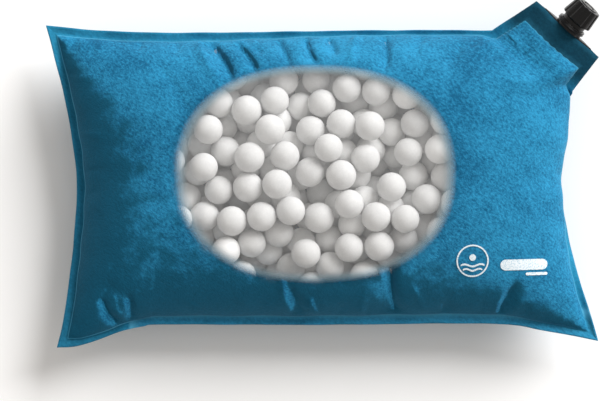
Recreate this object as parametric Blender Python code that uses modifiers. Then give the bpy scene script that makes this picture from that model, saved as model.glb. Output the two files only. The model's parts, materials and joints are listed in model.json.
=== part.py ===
"""A self-inflating camp pillow, in metres, with +Z up.

Two panels, each a fabric face over an airtight film, are welded round a fill of loose foam
balls. An oval cutaway in the top fabric shows the balls through the film. A twist valve sits in
a tab at one corner. The origin is in the middle of the face that the pillow rests on.
"""

import math

import bmesh
import bpy
import numpy as np
from mathutils import Vector
from mathutils.bvhtree import BVHTree

# Corners of the welded edge, seen from above; front is -Y
FRONT_LEFT = (-0.2400, -0.1530)
FRONT_RIGHT = (0.2500, -0.1470)
BACK_LEFT = (-0.2500, 0.1385)
TAB_ROOT_RIGHT = (0.2265, 0.0790)
TAB_ROOT_LEFT = (0.1540, 0.1340)
TAB_RIGHT = (0.2490, 0.1090)
TAB_LEFT = (0.1930, 0.1595)

# Points between the corners: the fill draws the edge in and leaves the corners as ears
FRONT_WAIST = [(-0.2240, -0.1521), (-0.2020, -0.1458), (-0.1820, -0.1382), (-0.1620, -0.1338),
               (-0.1400, -0.1322), (0.0, -0.1325), (0.1500, -0.1315), (0.2000, -0.1375)]
RIGHT_WAIST = [(0.2290, -0.0740), (0.2190, -0.0100), (0.2240, 0.0300)]
BACK_WAIST = [(0.0500, 0.1340), (-0.1000, 0.1320), (-0.1700, 0.1325), (-0.2150, 0.1350)]
LEFT_WAIST = [(-0.2335, 0.0745), (-0.2230, 0.0100), (-0.2235, -0.0400), (-0.2320, -0.1150)]

# Width of the flat welded flange along each run, and how far its outer edge is turned up
FRONT_FLANGE = 0.0065
RIGHT_FLANGE = 0.0060
BACK_FLANGE = 0.0072
LEFT_FLANGE = 0.0070
TAB_SIDE_FLANGE = 0.0080
TAB_END_FLANGE = 0.0185
FLANGE_LIFT = 0.0020

# Inflated shape
WELD_HEIGHT = 0.0440
TOP_RISE = 0.0570
BOTTOM_DROP = 0.0620
LONG_POWER = 3.4
CROSS_POWER = 2.35
CROWN_ROUNDNESS = 0.58

# Layers, from the inside out
WELD_GAP = 0.0003
FILM = 0.0003
LAYER_GAP = 0.0004
FABRIC = 0.0006

# Cutaway in the top fabric: a superellipse
WINDOW_CENTRE = (-0.0075, 0.0045)
WINDOW_HALF_LENGTH = 0.1210
WINDOW_HALF_WIDTH = 0.0945
WINDOW_POWER = 2.3

# Fill
BALL_DIAMETER = 0.0262
BALL_SIZE_SPREAD = 0.04
BALL_START_SPACING = 0.0215
BALL_START_DEPTH = 0.0240
BALL_COUNT = 45
BALL_GAP = 0.0004
BALL_EDGE_MARGIN = 0.4  # how far a centre stays inside the cutaway, in ball diameters
BALL_RECESS_GAP = 0.0020
BALL_SHAKE = 0.45  # in spacings
BALL_SEED = 11
SETTLE_ROUNDS = 200
SETTLE_PUSH = 0.5
FILL_CLEARANCE = 0.0025
FILL_DRAWN_IN = 0.7  # how far the fill stops short of the weld, as a share of the edge cell
FILL_FLOOR = 0.0410

# Valve, along its own axis: 0 is the tab's edge, and outwards is positive
VALVE_TILT = math.radians(18)
TAB_FOLD = 0.0450
BOAT_HALF_LENGTH = 0.0280
BOAT_HALF_THICKNESS = 0.0066
BOAT_INNER_END = -0.0170
BOAT_OUTER_END = 0.0008
BOAT_CLEARANCE = 0.0010
BOAT_END_ROOM = 0.0030
THROAT_RADIUS = 0.0045
THROAT_END = 0.0030
BORE_RADIUS = 0.0060
BORE_START = 0.0045
CORE_WALL = 0.0015
CORE_START = -0.0020
BARREL_RADIUS = 0.0090
BARREL_END = 0.0220
NECK_RADIUS = 0.01165
NECK_END = 0.0108
NECK_CHAMFER = 0.0008
SHOULDER_RADIUS = 0.0132
COLLAR_RADIUS = 0.0144
COLLAR_BASE = 0.0037
COLLAR_HEIGHT = 0.0030
COLLAR_BEVEL = 0.0003
COLLAR_GROOVE = 0.0007
KNOB_BASE = 0.0116
KNOB_END = 0.0280
KNOB_BEVEL = 0.0009
KNOB_BASE_RADIUS = 0.01515
KNOB_END_RADIUS = 0.0129
KNOB_CAVITY_RADIUS = 0.0110
KNOB_ROOF = 0.0250
KNOB_FLUTES = 12
KNOB_FLUTE_RADIUS = 0.0022
KNOB_FLUTE_OUT = 0.6  # how far a flute's centre lies outside the knob, in flute radii
KNOB_HOLE_RADIUS = 0.0088
MOUTH_RADIUS = 0.0055
MOUTH_BEVEL = 0.0006
GASKET_PLAY = 0.0007
GASKET_LIP = 0.0004
THREAD_PITCH = 0.0040
THREAD_TURNS = 1.5
THREAD_START = 0.0135
THREAD_STEPS = 12  # to a turn
BARREL_THREAD_RADIUS = 0.0007
KNOB_THREAD_RADIUS = 0.0008
KNOB_THREAD_ROOT = 0.0005
GRILLE_SEAT = 0.0030
GRILLE_LIP = 0.0012
GRILLE_THICKNESS = 0.0016
GRILLE_INSET = 0.0008
GRILLE_HOLES = 6
GRILLE_HOLE_CIRCLE = 0.0032
GRILLE_HOLE_RADIUS = 0.0010
STEM_RADIUS = 0.0020
STEM_END = 0.0236
SPIDER_START = 0.0080
SPIDER_END = 0.0100
SPIDER_HOLES = 5
SPIDER_HOLE_CIRCLE = 0.0039
SPIDER_HOLE_RADIUS = 0.0013
PLUG_RADIUS = 0.0044
PLUG_START = 0.0252
PLUG_END = 0.0283
PLUG_BEVEL = 0.0005
SEAL_GROOVE_RADIUS = 0.0032
SEAL_GROOVE_HALF = 0.0009
SEAL_HEIGHT = 0.0265
SEAL_RING_RADIUS = 0.0041
SEAL_WIRE_RADIUS = 0.0006

FIT_GAP = 0.0003  # between pieces that touch
UNION_OVERLAP = 0.0002
CUT_PAST = 0.0010  # how far a cutter runs past the face that it opens
CUT_TOP = 0.1500  # above the whole pillow
CUT_OVER_WELD = 0.0200

EDGE_ROW = 0.35  # where the extra row of cells beside each edge lies, as a share of a cell
CELLS_ACROSS = 16
CELLS_BACK = 14
CELLS_RIGHT = 8
CELLS_TAB_SIDE = 2
CELLS_TAB_END = 6
TURNED_STEPS = 24
RUN_STEPS = 16  # between two points of an edge, where its length is measured
MERGE = 0.00001


# --- Scene helpers -----------------------------------------------------------------------

def clear_scene():
    for obj in list(bpy.data.objects):
        bpy.data.objects.remove(obj)


def new_collection(name):
    collection = bpy.data.collections.new(name)
    bpy.context.scene.collection.children.link(collection)
    return collection


def material(name, colour, roughness, alpha=1.0):
    made = bpy.data.materials.new(name)
    made.use_nodes = True
    shader = made.node_tree.nodes["Principled BSDF"]
    shader.inputs["Base Color"].default_value = (*colour, 1)
    shader.inputs["Roughness"].default_value = roughness
    shader.inputs["Metallic"].default_value = 0.0
    shader.inputs["Alpha"].default_value = alpha
    return made


def add_object(name, data, collection, mat=None, parent=None):
    obj = bpy.data.objects.new(name, data)
    collection.objects.link(obj)
    obj.parent = parent
    if mat:
        data.materials.append(mat)
    return obj


def as_cutter(obj):
    obj.hide_render = True
    obj.display_type = "WIRE"
    return obj


def boolean(target, other, operation):
    modifier = target.modifiers.new(operation.title(), "BOOLEAN")
    modifier.operation = operation
    modifier.solver = "EXACT"
    modifier.object = other


def mesh_from(name, bm):
    mesh = bpy.data.meshes.new(name)
    bm.to_mesh(mesh)
    bm.free()
    return mesh


# --- Outline and lattice of the panels ------------------------------------------------------

def stations(cells, dense_start=False, dense_end=False):
    """Fractions along a run at its cell borders, with an extra one close to a dense end."""
    borders = list(range(cells + 1))
    if dense_start:
        borders.insert(1, EDGE_ROW)
    if dense_end:
        borders.insert(-1, cells - EDGE_ROW)
    return np.array(borders) / cells


def smooth_run(points, fractions):
    """Points at these fractions of the length of a smooth curve through the given points."""
    knots = np.array(points)
    padded = np.vstack([2 * knots[0] - knots[1], knots, 2 * knots[-1] - knots[-2]])
    t = np.linspace(0, 1, RUN_STEPS, endpoint=False)[:, None]
    pieces = [
        b + t / 2 * (c - a + t * (2 * a - 5 * b + 4 * c - d + t * (3 * (b - c) + d - a)))
        for a, b, c, d in zip(padded, padded[1:], padded[2:], padded[3:])
    ]
    fine = np.vstack([*pieces, knots[-1:]])
    steps = np.linalg.norm(np.diff(fine, axis=0), axis=1)
    along = np.append(0, np.cumsum(steps))
    wanted = fractions * along[-1]
    return np.column_stack([np.interp(wanted, along, fine[:, k]) for k in (0, 1)])


def headings(points):
    """Unit vectors along a run."""
    steps = np.gradient(points, axis=0)
    return steps / np.linalg.norm(steps, axis=1)[:, None]


def moved_in(points, width):
    """The run moved to its left, which is the inside of an anticlockwise outline."""
    ahead = headings(points)
    return points + width * np.column_stack([-ahead[:, 1], ahead[:, 0]])


def weld_corner(before, width_before, after, width_after):
    """Where the weld lines of two runs cross beside the corner that the runs share."""
    first = moved_in(before, width_before)[-1]
    second = moved_in(after, width_after)[0]
    ahead, on = headings(before)[-1], headings(after)[0]
    share = np.linalg.solve(np.column_stack([ahead, -on]), second - first)
    return first + share[0] * ahead


def outline_runs():
    """The outer edge and the weld line inside it, as runs of points, anticlockwise."""
    spec = [
        ("front", [FRONT_LEFT, *FRONT_WAIST, FRONT_RIGHT], FRONT_FLANGE,
         stations(CELLS_ACROSS, True, True)),
        ("right", [FRONT_RIGHT, *RIGHT_WAIST, TAB_ROOT_RIGHT], RIGHT_FLANGE,
         stations(CELLS_RIGHT, dense_start=True)),
        ("tab_right", [TAB_ROOT_RIGHT, TAB_RIGHT], TAB_SIDE_FLANGE, stations(CELLS_TAB_SIDE)),
        ("tab_end", [TAB_RIGHT, TAB_LEFT], TAB_END_FLANGE,
         stations(CELLS_TAB_END, dense_end=True)),
        ("tab_left", [TAB_LEFT, TAB_ROOT_LEFT], TAB_SIDE_FLANGE,
         stations(CELLS_TAB_SIDE, dense_start=True)),
        ("back", [TAB_ROOT_LEFT, *BACK_WAIST, BACK_LEFT], BACK_FLANGE,
         stations(CELLS_BACK, dense_end=True)),
        ("left", [BACK_LEFT, *LEFT_WAIST, FRONT_LEFT], LEFT_FLANGE,
         stations(CELLS_ACROSS, True, True)),
    ]
    outer = [smooth_run(points, fractions) for _, points, _, fractions in spec]
    widths = [width for _, _, width, _ in spec]
    corners = [
        weld_corner(outer[k - 1], widths[k - 1], outer[k], widths[k]) for k in range(len(spec))
    ]
    weld = []
    for k, (run, width) in enumerate(zip(outer, widths)):
        line = moved_in(run, width)
        t = np.linspace(0, 1, len(line))[:, None]
        to_start = corners[k] - line[0]
        to_end = corners[(k + 1) % len(spec)] - line[-1]
        weld.append(line + (1 - t) * to_start + t * to_end)
    names = [name for name, _, _, _ in spec]
    return dict(zip(names, outer)), dict(zip(names, weld))


def four_sides(runs):
    """The front and back sides from left to right, and the left and right ones to the back."""
    right = np.vstack([runs["right"], runs["tab_right"][1:], runs["tab_end"][1:]])
    back = np.vstack([runs["tab_left"], runs["back"][1:]])[::-1]
    return runs["front"], right, back, runs["left"][::-1]


def coons_patch(front, right, back, left):
    """The lattice of points that blends four sides."""
    u = np.linspace(0, 1, len(front))[:, None, None]
    v = np.linspace(0, 1, len(left))[None, :, None]
    across = (1 - v) * front[:, None] + v * back[:, None]
    along = (1 - u) * left[None] + u * right[None]
    corners = (1 - u) * ((1 - v) * front[0] + v * back[0])
    corners = corners + u * ((1 - v) * front[-1] + v * back[-1])
    return across + along - corners


def share_of_length(points, axis):
    """How far each lattice point is along its row, from -1 to 1 by length."""
    steps = np.linalg.norm(np.diff(points, axis=axis), axis=2)
    start = np.zeros_like(steps.take([0], axis=axis))
    along = np.concatenate([start, np.cumsum(steps, axis=axis)], axis=axis)
    return 2 * along / along.take([-1], axis=axis) - 1


def border(lattice):
    """The lattice's border points in order, anticlockwise."""
    return np.concatenate([lattice[:-1, 0], lattice[-1, :-1], lattice[:0:-1, -1], lattice[0, :0:-1]])


# --- Tab ----------------------------------------------------------------------------------

TAB_CENTRE = (np.array(TAB_RIGHT) + np.array(TAB_LEFT)) / 2
TAB_EDGE = (np.array(TAB_LEFT) - np.array(TAB_RIGHT)) / math.dist(TAB_LEFT, TAB_RIGHT)
TAB_OUT = np.array([TAB_EDGE[1], -TAB_EDGE[0]])


def tab_depth(xy):
    """How far a point lies inside the tab's end edge."""
    return (TAB_CENTRE - xy) @ TAB_OUT


def tab_share(xy):
    """1 in the tab's flange, fading to 0 at the line where the tab folds up."""
    t = np.clip((TAB_FOLD - tab_depth(xy)) / (TAB_FOLD - TAB_END_FLANGE), 0, 1)
    return t * t * (3 - 2 * t)


def weld_height(xy):
    return WELD_HEIGHT + math.tan(VALVE_TILT) * np.maximum(0, TAB_FOLD - tab_depth(xy))


def boat_room(xy):
    """Half of the opening that the panels leave between them for the valve's boat."""
    across = (xy - TAB_CENTRE) @ TAB_EDGE / (BOAT_HALF_LENGTH + BOAT_END_ROOM)
    half = (BOAT_HALF_THICKNESS + BOAT_CLEARANCE) * np.maximum(0, 1 - across**2)
    return half * tab_share(xy)


# --- Panels ---------------------------------------------------------------------------------

def crown(u, v):
    """Height of the inflated panel over its weld, from 0 at the weld to 1 in the middle."""
    across = 1 - np.abs(u) ** LONG_POWER
    along = 1 - np.abs(v) ** CROSS_POWER
    return np.clip(across * along, 0, 1) ** CROWN_ROUNDNESS


def skin_points(xy, rise, side):
    """Points on the inner face of the top panel (side 1) or of the bottom one (side -1)."""
    opening = side * boat_room(xy)
    height = weld_height(xy) + side * WELD_GAP / 2 + opening * math.cos(VALVE_TILT)
    if side > 0:
        height = height + TOP_RISE * rise
    else:
        height = np.maximum(FILM + LAYER_GAP + FABRIC, height - BOTTOM_DROP * rise)
    leaned = xy - (opening * math.sin(VALVE_TILT))[..., None] * TAB_OUT
    return np.concatenate([leaned, height[..., None]], axis=-1)


def lattice_faces(columns, rows, side):
    """The quads of a lattice that is stored column by column."""
    faces = []
    for i in range(columns - 1):
        for j in range(rows - 1):
            quad = [i * rows + j, (i + 1) * rows + j, (i + 1) * rows + j + 1, i * rows + j + 1]
            faces.append(quad[::side])
    return faces


class Shell:
    """The inner face of both panels, as lattices of points inside the weld and a flange."""

    def __init__(self):
        outer, weld = outline_runs()
        self.xy = coons_patch(*four_sides(weld))
        self.rise = crown(share_of_length(self.xy, 0), share_of_length(self.xy, 1))
        self.edge = border(coons_patch(*four_sides(outer)))

    def skin(self, side):
        """A bmesh of one panel's inner face, with its flange."""
        columns, rows = self.rise.shape
        inner = skin_points(self.xy, self.rise, side).reshape(-1, 3)
        edge = skin_points(self.edge, 0, side)
        edge[:, 2] += FLANGE_LIFT * (1 - tab_share(self.edge))
        index = np.arange(columns * rows).reshape(columns, rows)
        weld = border(index)
        faces = lattice_faces(columns, rows, side)
        for k, start in enumerate(weld):
            following = (k + 1) % len(weld)
            outside = columns * rows + k, columns * rows + following
            faces.append([outside[0], outside[1], weld[following], start][::side])
        mesh = bpy.data.meshes.new("skin")
        mesh.from_pydata(np.vstack([inner, edge]).tolist(), [], faces)
        bm = bmesh.new()
        bm.from_mesh(mesh)
        bpy.data.meshes.remove(mesh)
        bm.normal_update()
        return bm

    def fill(self):
        """A closed bmesh of the space for the fill, drawn in a little from the weld."""
        def drawn_in(values):
            pulled = values.copy()
            for end, beside in ((0, 1), (-1, -2)):
                pulled[end] += FILL_DRAWN_IN * (values[beside] - values[end])
            result = pulled.copy()
            for end, beside in ((0, 1), (-1, -2)):
                result[:, end] += FILL_DRAWN_IN * (pulled[:, beside] - pulled[:, end])
            return result

        columns, rows = self.rise.shape
        count = columns * rows
        points = np.vstack([
            drawn_in(skin_points(self.xy, self.rise, side)).reshape(-1, 3)
            - (0, 0, side * FILL_CLEARANCE)
            for side in (1, -1)
        ])
        faces = lattice_faces(columns, rows, 1)
        faces += [[k + count for k in quad] for quad in lattice_faces(columns, rows, -1)]
        rim = border(np.arange(count).reshape(columns, rows))
        for a, b in zip(rim, np.roll(rim, -1)):
            faces.append([a + count, b + count, b, a])
        mesh = bpy.data.meshes.new("ball_fill")
        mesh.from_pydata(points.tolist(), [], faces)
        return mesh


def add_layer(name, shell, side, clearance, thickness, collection, mat):
    """One layer of a panel, this far outside the panel's inner face."""
    bm = shell.skin(side)
    for vert in bm.verts:
        vert.co += vert.normal * clearance
    layer = add_object(name, mesh_from(name, bm), collection, mat)
    solidify = layer.modifiers.new("Thickness", "SOLIDIFY")
    solidify.thickness = thickness
    solidify.offset = 1
    return layer


def window_outline(margin, count=48):
    """Points of the cutaway's edge, moved out by a margin."""
    points = []
    for k in range(count):
        angle = 2 * math.pi * k / count
        c, s = math.cos(angle), math.sin(angle)
        x = math.copysign(abs(c) ** (2 / WINDOW_POWER), c) * (WINDOW_HALF_LENGTH + margin)
        y = math.copysign(abs(s) ** (2 / WINDOW_POWER), s) * (WINDOW_HALF_WIDTH + margin)
        points.append((WINDOW_CENTRE[0] + x, WINDOW_CENTRE[1] + y))
    return points


def add_prism(name, outline, low, high, collection, parent=None):
    """A cutter with this outline between two heights."""
    bm = bmesh.new()
    face = bm.faces.new([bm.verts.new((x, y, low)) for x, y in outline])
    grown = bmesh.ops.extrude_face_region(bm, geom=[face])["geom"]
    for vert in grown:
        if isinstance(vert, bmesh.types.BMVert):
            vert.co.z = high
    bmesh.ops.recalc_face_normals(bm, faces=bm.faces)
    return as_cutter(add_object(name, mesh_from(name, bm), collection, parent=parent))


# --- Balls ----------------------------------------------------------------------------------

def in_window(x, y, margin):
    across = abs(x - WINDOW_CENTRE[0]) / (WINDOW_HALF_LENGTH + margin)
    along = abs(y - WINDOW_CENTRE[1]) / (WINDOW_HALF_WIDTH + margin)
    return across**WINDOW_POWER + along**WINDOW_POWER < 1


def shaken_layer(rng):
    """A hexagonal layer of ball centres inside the cutaway, shaken out of line."""
    row_pitch = BALL_START_SPACING * math.sqrt(3) / 2
    rows = int(WINDOW_HALF_WIDTH / row_pitch) + 1
    columns = int(WINDOW_HALF_LENGTH / BALL_START_SPACING) + 1
    spots = []
    for j in range(-rows, rows + 1):
        for i in range(-columns, columns + 1):
            x = WINDOW_CENTRE[0] + (i + (j % 2) / 2) * BALL_START_SPACING
            y = WINDOW_CENTRE[1] + j * row_pitch
            if in_window(x, y, -BALL_EDGE_MARGIN * BALL_DIAMETER):
                spots.append((x, y))
    shake = BALL_SHAKE * BALL_START_SPACING
    return np.array(spots) + rng.uniform(-shake, shake, (len(spots), 2))


def ceiling(film, x, y, radius):
    """How high a ball's centre can be here before the ball meets the film."""
    surface, _, _, _ = film.ray_cast(Vector((x, y, 1)), Vector((0, 0, -1)))
    centre = surface - Vector((0, 0, radius))
    for _ in range(4):
        _, _, _, distance = film.find_nearest(centre)
        centre.z -= max(0, radius + BALL_GAP - distance)
    return centre.z


def settle_balls(shell):
    """Centres and radii of the balls under the cutaway: none overlaps another or the film.

    They start too close together, at uneven depths below the film, and push each other apart.
    The ones nearest the film are kept.
    """
    rng = np.random.default_rng(BALL_SEED)
    xy = shaken_layer(rng)
    radii = BALL_DIAMETER / 2 * rng.uniform(1 - BALL_SIZE_SPREAD, 1 + BALL_SIZE_SPREAD, len(xy))
    bm = shell.skin(1)
    film = BVHTree.FromBMesh(bm)
    bm.free()
    limits = np.array([ceiling(film, x, y, r) for (x, y), r in zip(xy, radii)])
    depths = rng.uniform(0, BALL_START_DEPTH, len(xy))
    centres = np.column_stack([xy, limits - depths])
    for _ in range(SETTLE_ROUNDS):
        apart = centres[:, None] - centres[None]
        distance = np.linalg.norm(apart, axis=2) + np.eye(len(xy))
        short = radii[:, None] + radii[None] + BALL_GAP - distance
        np.fill_diagonal(short, 0)
        push = np.maximum(short, 0)[:, :, None] * apart / distance[:, :, None]
        centres += SETTLE_PUSH * push.sum(axis=1)
        limits = np.array([ceiling(film, x, y, r) for (x, y, _), r in zip(centres, radii)])
        centres[:, 2] = np.minimum(centres[:, 2], limits)
    outside = [not in_window(x, y, -BALL_RECESS_GAP) for x, y, _ in centres]
    highest = np.argsort(limits - centres[:, 2] + outside, kind="stable")[:BALL_COUNT]
    return centres[highest], radii[highest]


# --- Turned valve pieces ----------------------------------------------------------------------

def add_turned(name, profile, collection, mat, parent, closed=True):
    """A profile of (radius, height) points, down its outer side first, turned about Z."""
    count = len(profile)
    mesh = bpy.data.meshes.new(name)
    edges = [(k, (k + 1) % count) for k in range(count if closed else count - 1)]
    mesh.from_pydata([(radius, 0, height) for radius, height in profile], edges, [])
    obj = add_object(name, mesh, collection, mat, parent)
    screw = obj.modifiers.new("Turn", "SCREW")
    screw.steps = TURNED_STEPS
    screw.render_steps = TURNED_STEPS
    screw.use_merge_vertices = True
    screw.merge_threshold = MERGE
    return obj


def add_thread(name, radius, bead, start, collection, parent):
    """A round bead wound once per pitch: the ridge of a thread, as a closed mesh."""
    curve = bpy.data.curves.new(name, "CURVE")
    curve.dimensions = "3D"
    curve.bevel_depth = bead
    curve.bevel_resolution = 0
    curve.use_fill_caps = True
    spline = curve.splines.new("POLY")
    spline.points.add(int(THREAD_STEPS * THREAD_TURNS))
    for k, point in enumerate(spline.points):
        angle = 2 * math.pi * k / THREAD_STEPS
        rise = start + THREAD_PITCH * k / THREAD_STEPS
        point.co = (radius * math.cos(angle), radius * math.sin(angle), rise, 1)
    wire = add_object(name + "_wire", curve, collection)
    bpy.context.view_layer.update()
    evaluated = wire.evaluated_get(bpy.context.evaluated_depsgraph_get())
    mesh = bpy.data.meshes.new_from_object(evaluated)
    bpy.data.objects.remove(wire)
    bm = bmesh.new()
    bm.from_mesh(mesh)
    bmesh.ops.remove_doubles(bm, verts=bm.verts, dist=MERGE)
    bmesh.ops.recalc_face_normals(bm, faces=bm.faces)
    bm.to_mesh(mesh)
    bm.free()
    return as_cutter(add_object(name, mesh, collection, parent=parent))


def ring_of_rods(name, count, circle, radius, low, high, collection, parent, circle_high=None):
    """Upright or leaning round rods on a circle, which run a little past both heights."""
    low, high = low - CUT_PAST, high + CUT_PAST
    bm = bmesh.new()
    for k in range(count):
        turn = 2 * math.pi * k / count
        spoke = Vector((math.cos(turn), math.sin(turn), 0))
        foot = spoke * circle + Vector((0, 0, low))
        head = spoke * (circle_high or circle) + Vector((0, 0, high))
        lean = (head - foot).to_track_quat("Z", "Y").to_matrix().to_4x4()
        lean.translation = (foot + head) / 2
        bmesh.ops.create_cone(bm, cap_ends=True, segments=8, radius1=radius, radius2=radius,
                              depth=(head - foot).length, matrix=lean)
    return as_cutter(add_object(name, mesh_from(name, bm), collection, parent=parent))


def add_ring(name, major, minor, height, collection, mat, parent):
    """A torus about the valve's axis: an O-ring."""
    bpy.ops.mesh.primitive_torus_add(major_radius=major, minor_radius=minor,
                                     major_segments=20, minor_segments=6)
    ring = bpy.context.object
    mesh = ring.data
    bpy.data.objects.remove(ring)
    obj = add_object(name, mesh, collection, mat, parent)
    obj.location.z = height
    return obj


def add_valve_body(parts, cutters, axis, mat):
    """The welded boat, the neck and the threaded barrel, with the air way through them."""
    boat_foot = BOAT_OUTER_END - UNION_OVERLAP
    shoulder_end = COLLAR_BASE - FIT_GAP
    core_radius = THROAT_RADIUS + CORE_WALL
    body = add_turned("valve_body", [
        (0, BARREL_END), (BARREL_RADIUS - NECK_CHAMFER, BARREL_END),
        (BARREL_RADIUS, BARREL_END - NECK_CHAMFER), (BARREL_RADIUS, NECK_END),
        (NECK_RADIUS - NECK_CHAMFER, NECK_END), (NECK_RADIUS, NECK_END - NECK_CHAMFER),
        (NECK_RADIUS, shoulder_end), (SHOULDER_RADIUS, shoulder_end),
        (SHOULDER_RADIUS, boat_foot), (core_radius, boat_foot), (core_radius, CORE_START),
        (0, CORE_START),
    ], parts, mat, axis, closed=False)
    across = np.linspace(-1, 1, 15)
    upper = [(BOAT_HALF_LENGTH * t, BOAT_HALF_THICKNESS * (1 - t * t)) for t in across]
    lower = [(x, -y) for x, y in upper[-2:0:-1]]
    boat = add_prism("boat", upper + lower, BOAT_INNER_END, BOAT_OUTER_END, cutters, axis)
    boolean(body, boat, "UNION")
    thread = add_thread("barrel_thread", BARREL_RADIUS + BARREL_THREAD_RADIUS / 2,
                        BARREL_THREAD_RADIUS, THREAD_START, cutters, axis)
    boolean(body, thread, "UNION")
    seat_radius = THROAT_RADIUS + GRILLE_LIP
    seat_end = BOAT_INNER_END + GRILLE_SEAT
    air_way = as_cutter(add_turned("air_way", [
        (0, BARREL_END + CUT_PAST), (BORE_RADIUS, BARREL_END + CUT_PAST),
        (BORE_RADIUS, BORE_START), (THROAT_RADIUS, THROAT_END), (THROAT_RADIUS, seat_end),
        (seat_radius, seat_end), (seat_radius, BOAT_INNER_END - CUT_PAST),
        (0, BOAT_INNER_END - CUT_PAST),
    ], cutters, None, axis, closed=False))
    boolean(body, air_way, "DIFFERENCE")


def add_collar(parts, axis, plastic):
    """The ring round the neck, with a fine groove round its rim."""
    top = COLLAR_BASE + COLLAR_HEIGHT
    rim = COLLAR_RADIUS - COLLAR_BEVEL
    groove = COLLAR_BASE + 0.45 * COLLAR_HEIGHT
    inner = NECK_RADIUS + FIT_GAP
    add_turned("valve_collar", [
        (rim - COLLAR_BEVEL, top), (rim, top - 2 * COLLAR_BEVEL), (rim, groove + COLLAR_BEVEL),
        (COLLAR_RADIUS - COLLAR_GROOVE, groove), (COLLAR_RADIUS, groove - COLLAR_BEVEL),
        (COLLAR_RADIUS, COLLAR_BASE + COLLAR_BEVEL), (rim, COLLAR_BASE), (inner, COLLAR_BASE),
        (inner, top),
    ], parts, plastic, axis)


def add_grille(parts, cutters, axis, plastic):
    """The pierced disc at the inner end of the air way, which keeps the balls out of it."""
    radius = THROAT_RADIUS + GRILLE_LIP - FIT_GAP
    low = BOAT_INNER_END + GRILLE_INSET
    high = low + GRILLE_THICKNESS
    grille = add_turned("intake_grille", [(0, high), (radius, high), (radius, low), (0, low)],
                        parts, plastic, axis, closed=False)
    holes = ring_of_rods("grille_holes", GRILLE_HOLES, GRILLE_HOLE_CIRCLE, GRILLE_HOLE_RADIUS,
                         low, high, cutters, axis)
    boolean(grille, holes, "DIFFERENCE")


def add_pintle(parts, cutters, axis, plastic, rubber):
    """The fixed plug that closes the knob's mouth, on a stem and a pierced foot, with its seal."""
    foot_radius = BORE_RADIUS - FIT_GAP
    groove_low, groove_high = SEAL_HEIGHT - SEAL_GROOVE_HALF, SEAL_HEIGHT + SEAL_GROOVE_HALF
    pintle = add_turned("valve_pintle", [
        (0, PLUG_END), (PLUG_RADIUS - PLUG_BEVEL, PLUG_END), (PLUG_RADIUS, PLUG_END - PLUG_BEVEL),
        (PLUG_RADIUS, groove_high), (SEAL_GROOVE_RADIUS, groove_high),
        (SEAL_GROOVE_RADIUS, groove_low), (PLUG_RADIUS, groove_low), (PLUG_RADIUS, PLUG_START),
        (STEM_RADIUS, STEM_END), (STEM_RADIUS, SPIDER_END), (foot_radius, SPIDER_END),
        (foot_radius, SPIDER_START), (0, SPIDER_START),
    ], parts, plastic, axis, closed=False)
    gaps = ring_of_rods("spider_gaps", SPIDER_HOLES, SPIDER_HOLE_CIRCLE, SPIDER_HOLE_RADIUS,
                        SPIDER_START, SPIDER_END, cutters, axis)
    boolean(pintle, gaps, "DIFFERENCE")
    add_ring("pintle_seal", SEAL_RING_RADIUS, SEAL_WIRE_RADIUS, SEAL_HEIGHT, parts, rubber, axis)


def add_knob(parts, cutters, axis, plastic, rubber):
    """The turning knob, its mouth ring, and the gasket that rides up under its roof."""
    knob = add_turned("knob_shell", [
        (KNOB_END_RADIUS - KNOB_BEVEL, KNOB_END), (KNOB_END_RADIUS, KNOB_END - KNOB_BEVEL),
        (KNOB_BASE_RADIUS, KNOB_BASE + KNOB_BEVEL), (KNOB_BASE_RADIUS - KNOB_BEVEL, KNOB_BASE),
        (KNOB_CAVITY_RADIUS, KNOB_BASE), (KNOB_CAVITY_RADIUS, KNOB_ROOF),
        (KNOB_HOLE_RADIUS, KNOB_ROOF), (KNOB_HOLE_RADIUS, KNOB_END),
    ], parts, plastic, axis)
    proud = KNOB_FLUTE_OUT * KNOB_FLUTE_RADIUS
    flutes = ring_of_rods("knob_flutes", KNOB_FLUTES, KNOB_BASE_RADIUS + proud,
                          KNOB_FLUTE_RADIUS, KNOB_BASE, KNOB_END, cutters, axis,
                          circle_high=KNOB_END_RADIUS + proud)
    boolean(knob, flutes, "DIFFERENCE")
    thread = add_thread("knob_thread", KNOB_CAVITY_RADIUS - KNOB_THREAD_ROOT,
                        KNOB_THREAD_RADIUS, THREAD_START + THREAD_PITCH / 2, cutters, axis)
    boolean(knob, thread, "UNION")
    outer = KNOB_HOLE_RADIUS - FIT_GAP
    add_turned("mouth_ring", [
        (MOUTH_RADIUS + MOUTH_BEVEL, KNOB_END + MOUTH_BEVEL),
        (outer - MOUTH_BEVEL, KNOB_END + MOUTH_BEVEL), (outer, KNOB_END), (outer, KNOB_ROOF),
        (MOUTH_RADIUS, KNOB_ROOF), (MOUTH_RADIUS, KNOB_END),
    ], parts, plastic, axis)
    low, high = BARREL_END + FIT_GAP, KNOB_ROOF - FIT_GAP
    wide, narrow = KNOB_CAVITY_RADIUS - GASKET_PLAY, BORE_RADIUS + GASKET_LIP
    add_turned("knob_gasket", [(wide, high), (wide, low), (narrow, low), (narrow, high)],
               parts, rubber, axis)


# --- Assembly -----------------------------------------------------------------------------

def build_panels(shell, parts, cutters):
    suede = material("blue_suede", (0.022, 0.300, 0.610), 0.85)
    film = material("clear_film", (0.80, 0.85, 0.88), 0.25, alpha=0.25)
    over_film = FILM + LAYER_GAP
    top_fabric = add_layer("top_fabric", shell, 1, over_film, FABRIC, parts, suede)
    window = add_prism("window_cutter", window_outline(0), WELD_HEIGHT + CUT_OVER_WELD, CUT_TOP,
                       cutters)
    boolean(top_fabric, window, "DIFFERENCE")
    add_layer("top_film", shell, 1, 0, FILM, parts, film)
    add_layer("bottom_film", shell, -1, 0, FILM, parts, film)
    add_layer("bottom_fabric", shell, -1, over_film, FABRIC, parts, suede)


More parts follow.
